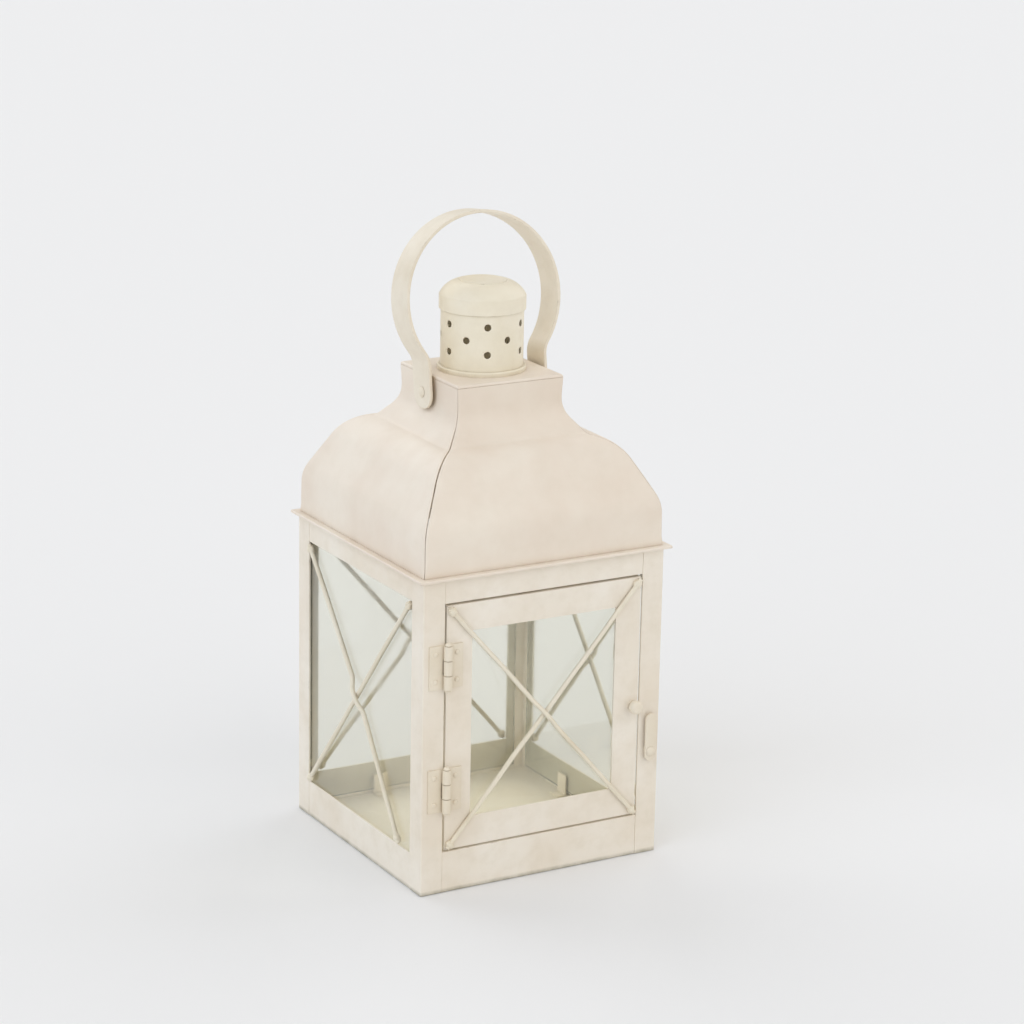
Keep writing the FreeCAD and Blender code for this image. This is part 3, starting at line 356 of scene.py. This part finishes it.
def pressedPanel(name, profile, quarterTurns):
    # an outer and an inner skin of even rows and columns, sewn together round their rims
    turn = Matrix.Rotation(quarterTurns * math.pi / 2, 3, "Z")
    foot, head = profile[0].y, profile[-1].y
    beside = [distance * mm for distance in roofPanel["beside"]]
    shares = [2 * c / (roofPanel["columns"] - 1) - 1 for c in range(roofPanel["columns"])]
    spots = [(-1, d) for d in reversed(beside)] + [(s, None) for s in shares] + [(1, d) for d in beside]
    work = bmesh.new()
    skins = []
    for depth in (0, roofPanel["sheet"] * mm):
        skin = []
        for index, point in enumerate(profile):
            along = profile[min(index + 1, len(profile) - 1)] - profile[max(index - 1, 0)]
            outward = Vector((along.y, -along.x)).normalized()
            flat = index in (0, len(profile) - 1)
            inset = Vector((depth, 0)) if flat else outward * depth
            # dents fade out towards the panel's foot and head
            calm = min(1, (point.y - foot) / (roofPanel["calmFoot"] * mm),
                       (head - point.y) / (roofPanel["calmHead"] * mm))
            width = point.x - inset.x - hipGap(point.y)
            reach = width - beside[0] - roofPanel["gridMargin"] * mm
            row = []
            for share, fromHip in spots:
                x = share * (width - fromHip) if fromHip is not None else share * reach
                at = turn @ Vector((x, -point.x, point.y))
                dent = noise.noise(at / (roofPanel["dentSize"] * mm)) * roofPanel["dentDepth"] * mm * calm
                turnIn = 0
                if fromHip is not None:
                    roll = max(0, 1 - fromHip / (roofPanel["hipRoll"] * mm)) ** 2
                    turnIn = roll * roofPanel["hipDrop"] * mm * min(1, calm * 2)
                shift = outward * (dent - turnIn)
                if flat:
                    shift.y = 0
                r, z = point.x - inset.x + shift.x, point.y - inset.y + shift.y
                if fromHip is not None:
                    x = share * (r - hipGap(point.y) - fromHip)
                row.append(work.verts.new(turn @ Vector((x, -r, z))))
            skin.append(row)
        skins.append(skin)
    outer, inner = skins
    rowCount, columnCount = len(outer), len(outer[0])
    for i in range(rowCount - 1):
        for j in range(columnCount - 1):
            work.faces.new((outer[i][j], outer[i][j + 1], outer[i + 1][j + 1], outer[i + 1][j]))
            work.faces.new((inner[i][j], inner[i + 1][j], inner[i + 1][j + 1], inner[i][j + 1]))
        for j in (0, columnCount - 1):
            work.faces.new((outer[i][j], outer[i + 1][j], inner[i + 1][j], inner[i][j]))
    for j in range(columnCount - 1):
        for i in (0, rowCount - 1):
            work.faces.new((outer[i][j], outer[i][j + 1], inner[i][j + 1], inner[i][j]))
    bmesh.ops.recalc_face_normals(work, faces=work.faces)
    return softenEdges(name, work, roofPanel["edgeRound"], roofPanel["sharpAngle"])


panelProfile = outerProfile("roof_panel_front")
for quarterTurns, side in enumerate(("front", "right", "back", "left")):
    node = "roof_panel_" + side
    panel = pressedPanel("painted_" + node, panelProfile, quarterTurns)
    showOn(panel, paints["roof_paint"], node)
print("roof panels done:", len(panelProfile), "rows")


def newRule(name, sizes):
    # a tree with one named input for each size, and its group input's sockets
    tree = bpy.data.node_groups.new(name, "GeometryNodeTree")
    tree.interface.new_socket("Geometry", in_out="INPUT", socket_type="NodeSocketGeometry")
    tree.interface.new_socket("Geometry", in_out="OUTPUT", socket_type="NodeSocketGeometry")
    for size, value in sizes.items():
        kind = {int: "NodeSocketInt", float: "NodeSocketFloat"}.get(type(value), "NodeSocketMaterial")
        tree.interface.new_socket(size, in_out="INPUT", socket_type=kind)
    return tree, tree.nodes.new("NodeGroupInput").outputs


def endRule(tree, geometry, paint):
    # every rule ends in plain geometry with its paint on
    plain = addNode(tree, "GeometryNodeRealizeInstances", {"Geometry": geometry})
    smooth = addNode(tree, "GeometryNodeSetShadeSmooth", {"Geometry": plain.outputs[0]})
    painted = addNode(tree, "GeometryNodeSetMaterial", {
        "Geometry": smooth.outputs[0], "Material": paint})
    addNode(tree, "NodeGroupOutput", {"Geometry": painted.outputs[0]})


def grow(name, tree, sizes, source=None):
    # runs a rule once with its sizes set, and keeps what it made as a plain mesh
    obj = linkMesh(name, source or bpy.data.meshes.new(name))
    rule = obj.modifiers.new("rule", "NODES")
    rule.node_group = tree
    for item in tree.interface.items_tree:
        if item.in_out == "INPUT" and item.name in sizes:
            rule[item.identifier] = sizes[item.name]
    return settled(obj)


# the chimney tube: vents punched from a strip that is rolled into a tube
tubeLow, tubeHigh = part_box("chimney_tube")
tubeSizes = {
    "Tube Radius": tubeHigh.x,
    "Tube Foot": tubeLow.z,
    "Tube Height": tubeHigh.z - tubeLow.z,
    "Hole Radius": 1.6 * mm,
    "Rim Dip": 0.22 * mm,
    "First Row": 10.1 * mm,
    "Row Step": 6.35 * mm,
    "First Angle": math.radians(8.5),
    "Columns": 12,
    "Rows": 3,
    "Paint": paints["chimney_paint"],
}
tubeWall = dict(
    sheet=0.8, edgeRound=0.2, sharpAngle=50, sewWithin=0.02,
    side=8, rings=6, bandRows=7,        # edges along a cell's side, loops to the hole, rows in a band
)


def ventedStripRule():
    tree, size = newRule("ventedStrip", tubeSizes)
    side, rings = tubeWall["side"], tubeWall["rings"]
    around = addNode(tree, "ShaderNodeMath", {
        0: size["Tube Radius"], 1: 2 * math.pi}, operation="MULTIPLY").outputs[0]
    cellWidth = addNode(tree, "ShaderNodeMath", {
        0: around, 1: size["Columns"]}, operation="DIVIDE").outputs[0]
    cell = addNode(tree, "ShaderNodeCombineXYZ", {
        "X": cellWidth, "Y": size["Row Step"], "Z": 0.0}).outputs[0]

    # a cell with a hole: a grid wrapped from the cell's outline in to the hole's rim
    patch = addNode(tree, "GeometryNodeMeshGrid", {
        "Size X": 1.0, "Size Y": 1.0, "Vertices X": 4 * side + 1, "Vertices Y": rings})
    turn = addNode(tree, "ShaderNodeSeparateXYZ", {0: patch.outputs["UV Map"]})
    square = addNode(tree, "GeometryNodeCurvePrimitiveQuadrilateral", {"Width": 1.0, "Height": 1.0})
    outline = addNode(tree, "GeometryNodeSampleCurve", {
        "Curves": square.outputs[0], "Factor": turn.outputs["X"]}, mode="FACTOR")
    edge = addNode(tree, "ShaderNodeVectorMath", {
        0: outline.outputs["Position"], 1: cell}, operation="MULTIPLY").outputs[0]
    ray = addNode(tree, "ShaderNodeVectorMath", {0: edge}, operation="NORMALIZE").outputs[0]
    rim = addNode(tree, "ShaderNodeVectorMath", {
        0: ray, "Scale": size["Hole Radius"]}, operation="SCALE").outputs[0]
    nearer = addNode(tree, "ShaderNodeMath", {0: turn.outputs["Y"]}, operation="SQRT").outputs[0]
    wrapped = addNode(tree, "ShaderNodeMix", {
        0: nearer, 4: edge, 5: rim}, data_type="VECTOR").outputs[1]

    # the punch pulls the rim in a little
    dipShare = addNode(tree, "ShaderNodeMath", {
        0: turn.outputs["Y"], 1: 4.0}, operation="POWER").outputs[0]
    dip = addNode(tree, "ShaderNodeMath", {
        0: dipShare, 1: size["Rim Dip"]}, operation="MULTIPLY").outputs[0]
    inward = addNode(tree, "ShaderNodeMath", {0: dip, 1: -1.0}, operation="MULTIPLY").outputs[0]
    lowered = addNode(tree, "ShaderNodeCombineXYZ", {"Z": inward}).outputs[0]
    punched = addNode(tree, "GeometryNodeSetPosition", {
        "Geometry": patch.outputs["Mesh"], "Position": wrapped, "Offset": lowered}).outputs[0]
    blank = addNode(tree, "GeometryNodeMeshGrid", {
        "Size X": cellWidth, "Size Y": size["Row Step"], "Vertices X": side + 1, "Vertices Y": side + 1})

    # cells stand in rows and columns, and every second one is punched
    columnGaps = addNode(tree, "ShaderNodeMath", {
        0: size["Columns"], 1: 1.0}, operation="SUBTRACT").outputs[0]
    columnRun = addNode(tree, "ShaderNodeMath", {
        0: cellWidth, 1: columnGaps}, operation="MULTIPLY").outputs[0]
    rowGaps = addNode(tree, "ShaderNodeMath", {0: size["Rows"], 1: 1.0}, operation="SUBTRACT").outputs[0]
    rowRun = addNode(tree, "ShaderNodeMath", {
        0: size["Row Step"], 1: rowGaps}, operation="MULTIPLY").outputs[0]
    centres = addNode(tree, "GeometryNodeMeshGrid", {
        "Size X": columnRun, "Size Y": rowRun, "Vertices X": size["Columns"], "Vertices Y": size["Rows"]})
    halfRun = addNode(tree, "ShaderNodeMath", {0: rowRun, 1: 0.5}, operation="MULTIPLY").outputs[0]
    middleX = addNode(tree, "ShaderNodeMath", {0: around, 1: 0.5}, operation="MULTIPLY").outputs[0]
    middleY = addNode(tree, "ShaderNodeMath", {
        0: size["First Row"], 1: halfRun}, operation="ADD").outputs[0]
    middle = addNode(tree, "ShaderNodeCombineXYZ", {"X": middleX, "Y": middleY}).outputs[0]
    placed = addNode(tree, "GeometryNodeTransform", {
        "Geometry": centres.outputs["Mesh"], "Translation": middle}).outputs[0]
    index = addNode(tree, "GeometryNodeInputIndex").outputs[0]
    odd = addNode(tree, "ShaderNodeMath", {0: index, 1: 2.0}, operation="MODULO").outputs[0]
    even = addNode(tree, "ShaderNodeMath", {0: 1.0, 1: odd}, operation="SUBTRACT").outputs[0]
    cells = [
        addNode(tree, "GeometryNodeInstanceOnPoints", {
            "Points": placed, "Selection": chosen, "Instance": mesh}).outputs[0]
        for chosen, mesh in ((even, punched), (odd, blank.outputs["Mesh"]))]

    # plain bands below and above the cells
    halfStep = addNode(tree, "ShaderNodeMath", {
        0: size["Row Step"], 1: 0.5}, operation="MULTIPLY").outputs[0]
    bandLow = addNode(tree, "ShaderNodeMath", {
        0: size["First Row"], 1: halfStep}, operation="SUBTRACT").outputs[0]
    lastRow = addNode(tree, "ShaderNodeMath", {
        0: size["First Row"], 1: rowRun}, operation="ADD").outputs[0]
    bandTop = addNode(tree, "ShaderNodeMath", {0: lastRow, 1: halfStep}, operation="ADD").outputs[0]
    bands = []
    for start, end in ((0.0, bandLow), (bandTop, size["Tube Height"])):
        run = addNode(tree, "ShaderNodeMath", {0: end, 1: start}, operation="SUBTRACT").outputs[0]
        band = addNode(tree, "GeometryNodeMeshGrid", {
            "Size X": around, "Size Y": run, "Vertices X": tubeSizes["Columns"] * side + 1,
            "Vertices Y": tubeWall["bandRows"]})
        halfBand = addNode(tree, "ShaderNodeMath", {0: run, 1: 0.5}, operation="MULTIPLY").outputs[0]
        centre = addNode(tree, "ShaderNodeMath", {0: start, 1: halfBand}, operation="ADD").outputs[0]
        at = addNode(tree, "ShaderNodeCombineXYZ", {"X": middleX, "Y": centre}).outputs[0]
        bands.append(addNode(tree, "GeometryNodeTransform", {
            "Geometry": band.outputs["Mesh"], "Translation": at}).outputs[0])

    strip = addNode(tree, "GeometryNodeJoinGeometry")
    for part in cells + bands:
        tree.links.new(part, strip.inputs[0])
    plain = addNode(tree, "GeometryNodeRealizeInstances", {"Geometry": strip.outputs[0]})
    sewn = addNode(tree, "GeometryNodeMergeByDistance", {
        "Geometry": plain.outputs[0], "Distance": tubeWall["sewWithin"] * mm})

    # the strip is rolled up and its ends meet
    place = addNode(tree, "GeometryNodeInputPosition").outputs[0]
    flat = addNode(tree, "ShaderNodeSeparateXYZ", {0: place})
    halfCell = addNode(tree, "ShaderNodeMath", {
        0: math.pi, 1: size["Columns"]}, operation="DIVIDE").outputs[0]
    phase = addNode(tree, "ShaderNodeMath", {
        0: size["First Angle"], 1: halfCell}, operation="SUBTRACT").outputs[0]
    arc = addNode(tree, "ShaderNodeMath", {
        0: flat.outputs["X"], 1: size["Tube Radius"]}, operation="DIVIDE").outputs[0]
    angle = addNode(tree, "ShaderNodeMath", {0: arc, 1: phase}, operation="ADD").outputs[0]
    radius = addNode(tree, "ShaderNodeMath", {
        0: flat.outputs["Z"], 1: size["Tube Radius"]}, operation="ADD").outputs[0]
    cosine = addNode(tree, "ShaderNodeMath", {0: angle}, operation="COSINE").outputs[0]
    sine = addNode(tree, "ShaderNodeMath", {0: angle}, operation="SINE").outputs[0]
    rolledX = addNode(tree, "ShaderNodeMath", {0: radius, 1: cosine}, operation="MULTIPLY").outputs[0]
    rolledY = addNode(tree, "ShaderNodeMath", {0: radius, 1: sine}, operation="MULTIPLY").outputs[0]
    rolledZ = addNode(tree, "ShaderNodeMath", {
        0: flat.outputs["Y"], 1: size["Tube Foot"]}, operation="ADD").outputs[0]
    rolled = addNode(tree, "ShaderNodeCombineXYZ", {"X": rolledX, "Y": rolledY, "Z": rolledZ}).outputs[0]
    tube = addNode(tree, "GeometryNodeSetPosition", {"Geometry": sewn.outputs[0], "Position": rolled})
    closed = addNode(tree, "GeometryNodeMergeByDistance", {
        "Geometry": tube.outputs[0], "Distance": tubeWall["sewWithin"] * mm})
    endRule(tree, closed.outputs[0], size["Paint"])
    return tree


tube = grow("chimney_skin", ventedStripRule(), tubeSizes)
wall = tube.modifiers.new("wall", "SOLIDIFY")
wall.thickness, wall.offset = tubeWall["sheet"] * mm, -1
wall.use_even_offset = True
settled(tube)
work = bmesh.new()
work.from_mesh(tube.data)
bpy.data.objects.remove(tube)
tube = softenEdges("painted_chimney_tube", work, tubeWall["edgeRound"], tubeWall["sharpAngle"])
showOn(tube, paints["chimney_paint"], "chimney_tube")
print("chimney tube done")


# the guard wires: crossed in pairs, the outer one stepping over the inner
wireSizes = {
    "Wire Radius": 1.1 * mm,
    "Bend Radius": 5.0 * mm,
    "Waver": 0.16 * mm,         # the wires are straightened by hand
    "Waver Size": 26 * mm,
    "Bead Radius": 1.95 * mm,
    "Paint": paints["wire_paint"],
}
wirePath = dict(
    stepTop=3.0, stepFoot=9.0, bendCuts=6,          # the step over the other wire and its bends
    cutEvery=1.6, sides=14, shadeAngle=60,
    beadInset=2.4, beadSink=0.2, lumpSize=2.4, lumpDepth=0.9,       # the last is a share of the bead's radius
)


def wireRule():
    tree, size = newRule("guardWires", wireSizes)
    lines = addNode(tree, "GeometryNodeMeshToCurve", {"Mesh": size["Geometry"]})
    bent = addNode(tree, "GeometryNodeFilletCurve", {
        "Curve": lines.outputs[0], "Count": wirePath["bendCuts"], "Radius": size["Bend Radius"],
        "Limit Radius": True}, mode="POLY")
    even = addNode(tree, "GeometryNodeResampleCurve", {
        "Curve": bent.outputs[0], "Length": wirePath["cutEvery"] * mm}, mode="LENGTH")
    place = addNode(tree, "GeometryNodeInputPosition").outputs[0]
    scale = addNode(tree, "ShaderNodeMath", {
        0: 1.0, 1: size["Waver Size"]}, operation="DIVIDE").outputs[0]
    drift = addNode(tree, "ShaderNodeTexNoise", {"Vector": place, "Scale": scale, "Detail": 1.0})
    centred = addNode(tree, "ShaderNodeVectorMath", {
        0: drift.outputs["Color"], 1: (0.5, 0.5, 0.5)}, operation="SUBTRACT")
    reach = addNode(tree, "ShaderNodeMath", {0: size["Waver"], 1: 4.0}, operation="MULTIPLY").outputs[0]
    shift = addNode(tree, "ShaderNodeVectorMath", {
        0: centred.outputs[0], "Scale": reach}, operation="SCALE")
    wavering = addNode(tree, "GeometryNodeSetPosition", {
        "Geometry": even.outputs[0], "Offset": shift.outputs[0]})
    section = addNode(tree, "GeometryNodeCurvePrimitiveCircle", {
        "Resolution": wirePath["sides"], "Radius": size["Wire Radius"]})
    wires = addNode(tree, "GeometryNodeCurveToMesh", {
        "Curve": wavering.outputs[0], "Profile Curve": section.outputs[0], "Fill Caps": True})

    # solder beads hold the ends; each is a lump of its own shape
    isBead = addNode(tree, "GeometryNodeInputNamedAttribute", {"Name": "bead"}, data_type="FLOAT")
    ball = addNode(tree, "GeometryNodeMeshIcoSphere", {"Radius": size["Bead Radius"], "Subdivisions": 3})
    beads = addNode(tree, "GeometryNodeInstanceOnPoints", {
        "Points": size["Geometry"], "Selection": isBead.outputs[0], "Instance": ball.outputs["Mesh"]})
    balls = addNode(tree, "GeometryNodeRealizeInstances", {"Geometry": beads.outputs[0]})
    lumps = addNode(tree, "ShaderNodeTexNoise", {
        "Vector": place, "Scale": perMillimetre(wirePath["lumpSize"]), "Detail": 1.0})
    lumpShare = addNode(tree, "ShaderNodeMath", {
        0: lumps.outputs["Fac"], 1: 0.5}, operation="SUBTRACT").outputs[0]
    lumpReach = addNode(tree, "ShaderNodeMath", {
        0: size["Bead Radius"], 1: wirePath["lumpDepth"]}, operation="MULTIPLY").outputs[0]
    lumpHeight = addNode(tree, "ShaderNodeMath", {
        0: lumpShare, 1: lumpReach}, operation="MULTIPLY").outputs[0]
    normal = addNode(tree, "GeometryNodeInputNormal").outputs[0]
    swell = addNode(tree, "ShaderNodeVectorMath", {0: normal, "Scale": lumpHeight}, operation="SCALE")
    lumpy = addNode(tree, "GeometryNodeSetPosition", {
        "Geometry": balls.outputs[0], "Offset": swell.outputs[0]})
    everything = addNode(tree, "GeometryNodeJoinGeometry")
    tree.links.new(wires.outputs[0], everything.inputs[0])
    tree.links.new(lumpy.outputs[0], everything.inputs[0])
    endRule(tree, everything.outputs[0], size["Paint"])
    return tree


def wireEnds(node, sideways):
    # the centre line's two ends, worked out from the box of a slanting round wire
    low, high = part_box(node)
    radius = wireSizes["Wire Radius"]
    run, rise = high[sideways] - low[sideways], high.z - low.z
    slope = Vector((run, rise)).normalized()
    for _ in range(6):
        slope = Vector((run - 2 * radius * slope.y, rise - 2 * radius * slope.x)).normalized()
    insetRun, insetRise = radius * slope.y, radius * slope.x
    mesh = frame["nodes"][node].data
    middle = (low + high) / 2
    leans = sum((v.co[sideways] - middle[sideways]) * (v.co.z - middle.z) for v in mesh.vertices)
    lowEnd, highEnd = low[sideways] + insetRun, high[sideways] - insetRun
    if leans < 0:
        lowEnd, highEnd = highEnd, lowEnd
    return Vector((lowEnd, low.z + insetRise)), Vector((highEnd, high.z - insetRise))


def wirePairPath(side, points, edges, beads):
    # adds the two wires of one side to the guide, and gives the nodes that they stand for
    under, over = "guard_wire_under_" + side, "guard_wire_over_" + side
    sideways = 0 if side in ("back", "door") else 1
    facing = 1 - sideways
    low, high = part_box(under)
    sign = 1 if low[facing] > 0 else -1
    depth = (low[facing] + high[facing]) / 2
    overLow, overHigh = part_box(over)
    stepOut = sign * ((overHigh - overLow)[facing] - (high - low)[facing] - wireSizes["Waver"])
    crossing = Vector(((low + high)[sideways] / 2, (low + high).z / 2))
    for node, step in ((under, 0), (over, stepOut)):
        start, end = wireEnds(node, sideways)
        along = (end - start).normalized()
        flat = [(start, 0)]
        if step:
            for offset, out in ((-1, 0), (-1, 1), (1, 1), (1, 0)):
                reach = wirePath["stepTop"] if out else wirePath["stepFoot"]
                flat.append((crossing + along * offset * reach * mm, step * out))
        flat.append((end, 0))
        first = len(points)
        for place, out in flat:
            point = Vector((0, 0, place.y))
            point[sideways], point[facing] = place.x, depth + out
            points.append(point)
        edges.extend((i, i + 1) for i in range(first, len(points) - 1))
        inset = along * wirePath["beadInset"] * mm
        for place in (start + inset, end - inset):
            point = Vector((0, 0, place.y))
            point[sideways], point[facing] = place.x, depth - sign * wirePath["beadSink"] * mm
            beads.append(point)
    return [under, over]


wires = wireRule()
for part, sides in (("body", ("left", "right", "back")), ("door", ("door",))):
    name = "painted_guard_wires_" + part
    points, edges, beads, nodes = [], [], [], []
    for side in sides:
        nodes += wirePairPath(side, points, edges, beads)
    guide = bpy.data.meshes.new(name + "_guide")
    guide.from_pydata(points + beads, edges, [])
    mark = guide.attributes.new("bead", "FLOAT", "POINT")
    mark.data.foreach_set("value", [0.0] * len(points) + [1.0] * len(beads))
    piece = grow(name, wires, wireSizes, guide)
    piece.data.set_sharp_from_angle(angle=math.radians(wirePath["shadeAngle"]))
    showOn(piece, paints["wire_paint"], *nodes)
print("guard wires done")


# the hinge rivets: two domed heads on each leaf
rivetSizes = {
    "Head Radius": 1.25 * mm,
    "Head Rise": 0.6 * mm,
    "Paint": paints["fitting_paint"],
}
rivetSpots = dict(fromMiddle=6.4, freeShare=0.36, freeEdge=1.5)


def rivetRule():
    tree, size = newRule("hingeRivets", rivetSizes)
    ball = addNode(tree, "GeometryNodeMeshUVSphere", {
        "Segments": 20, "Rings": 12, "Radius": size["Head Radius"]})
    flatness = addNode(tree, "ShaderNodeMath", {
        0: size["Head Rise"], 1: size["Head Radius"]}, operation="DIVIDE").outputs[0]
    stretch = addNode(tree, "ShaderNodeCombineXYZ", {"X": 1.0, "Y": flatness, "Z": 1.0}).outputs[0]
    head = addNode(tree, "GeometryNodeTransform", {"Geometry": ball.outputs["Mesh"], "Scale": stretch})
    heads = addNode(tree, "GeometryNodeInstanceOnPoints", {
        "Points": size["Geometry"], "Instance": head.outputs[0]})
    endRule(tree, heads.outputs[0], size["Paint"])
    return tree


def leafSpots(node):
    # the middle of the leaf's flat part, between its free edge and its knuckles
    low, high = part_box(node)
    pinLow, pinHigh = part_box("hinge_pin_upper")
    pinX = (pinLow.x + pinHigh.x) / 2
    free = low.x if abs(low.x - pinX) > abs(high.x - pinX) else high.x
    corners = [vertex.co for vertex in frame["nodes"][node].data.vertices]
    face = min(corner.y for corner in corners if abs(corner.x - free) < rivetSpots["freeEdge"] * mm)
    x = free + (pinX - free) * rivetSpots["freeShare"]
    reach = rivetSpots["fromMiddle"] * mm
    return [Vector((x, face, (low.z + high.z) / 2 + side * reach)) for side in (-1, 1)]


rivets = rivetRule()
for part, body in (("post", "lantern_body"), ("door", "door")):
    name = "painted_hinge_rivets_" + part
    spots = leafSpots("hinge_leaf_" + part + "_upper") + leafSpots("hinge_leaf_" + part + "_lower")
    guide = bpy.data.meshes.new(name + "_guide")
    guide.from_pydata(spots, [], [])
    piece = grow(name, rivets, rivetSizes, guide)
    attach(piece, body)
print("hinge rivets done")


# each lamp is a wide soft one: where it stands, power, spread in degrees, colour
studio = dict(
    floorSize=24.0, floorGap=0.2, floorTone="EEEEEE",       # across in m, below the lantern's foot in mm
    worldTone="FFFFFF", wallGlow=0.83, roomGlow=0.36,
    lamps=(
        ("left_lamp", (-1.0, -0.35, 0.70), 1.12, 60, "EDF4FF"),
        ("front_lamp", (0.35, -1.0, 0.72), 0.80, 60, "FFF9F2"),
        ("right_lamp", (1.0, 0.25, 0.70), 0.85, 60, "FFFFFF"),
        ("rear_lamp", (-0.2, 1.0, 0.74), 0.95, 60, "FFFFFF"),
    ),
)

floorMesh = bpy.data.meshes.new("studio_floor")
half = studio["floorSize"] / 2
floorCorners = [(-half, -half, 0), (half, -half, 0), (half, half, 0), (-half, half, 0)]
floorMesh.from_pydata(floorCorners, [], [(0, 1, 2, 3)])
studioFloor = linkMesh("studio_floor", floorMesh)
studioFloor.location.z = -studio["floorGap"] * mm

# Matte background paper: no shine at all, so that only the lantern's shadow changes its tone.
paper = newMaterial("matteBackgroundPaper")
paperShader = addNode(paper.node_tree, "ShaderNodeBsdfPrincipled", {
    "Base Color": linear(studio["floorTone"]), "Roughness": 1.0, "Specular IOR Level": 0.0})
addNode(paper.node_tree, "ShaderNodeOutputMaterial", {"Surface": paperShader.outputs[0]})
floorMesh.materials.append(paper)

world = bpy.data.worlds.new("studio")
bpy.context.scene.world = world
world.use_nodes = True
room = world.node_tree.nodes["Background"]
room.inputs["Color"].default_value = linear(studio["worldTone"])
# the walls show as pale as the floor, also through the panes, and light the room more softly than that
path = addNode(world.node_tree, "ShaderNodeLightPath")
shown = addNode(world.node_tree, "ShaderNodeMath", {
    0: path.outputs["Is Camera Ray"], 1: path.outputs["Is Transmission Ray"]}, operation="MAXIMUM")
glow = addNode(world.node_tree, "ShaderNodeMapRange", {
    "Value": shown.outputs[0], "To Min": studio["roomGlow"], "To Max": studio["wallGlow"]})
world.node_tree.links.new(glow.outputs[0], room.inputs["Strength"])
for name, stands, power, spread, tone in studio["lamps"]:
    lamp = bpy.data.objects.new(name, bpy.data.lights.new(name, "SUN"))
    lamp.data.energy = power
    lamp.data.angle = math.radians(spread)
    lamp.data.color = linear(tone)[:3]
    lamp.rotation_mode = "QUATERNION"
    lamp.rotation_quaternion = Vector(stands).to_track_quat("Z", "Y")
    bpy.context.scene.collection.objects.link(lamp)
bpy.context.scene.view_settings.view_transform = "Standard"

# angles in degrees, distances in metres, the lens in mm
cameraFit = dict(azimuth=-30.022, elevation=15.995, roll=1.111, distance=1.4956, lens=112.5,
                 target=(0, 0, 0.125), right=0.0159, up=0.031)
azimuth, elevation, roll = (math.radians(cameraFit[k]) for k in ("azimuth", "elevation", "roll"))
back = Vector((math.sin(azimuth) * math.cos(elevation), -math.cos(azimuth) * math.cos(elevation),
               math.sin(elevation)))
levelRight = Vector((math.cos(azimuth), math.sin(azimuth), 0))
levelUp = back.cross(levelRight)
right = levelRight * math.cos(roll) + levelUp * math.sin(roll)
up = levelUp * math.cos(roll) - levelRight * math.sin(roll)
camera = bpy.data.objects.new("camera", bpy.data.cameras.new("camera"))
camera.data.sensor_width = 36
camera.data.lens = cameraFit["lens"]
camera.data.clip_start = 0.05
camera.data.clip_end = 20
where = (Vector(cameraFit["target"]) + back * cameraFit["distance"] + right * cameraFit["right"]
         + up * cameraFit["up"])
camera.matrix_world = Matrix((right, up, back)).transposed().to_4x4()
camera.location = where
bpy.context.scene.collection.objects.link(camera)
bpy.context.scene.camera = camera
print("studio done")
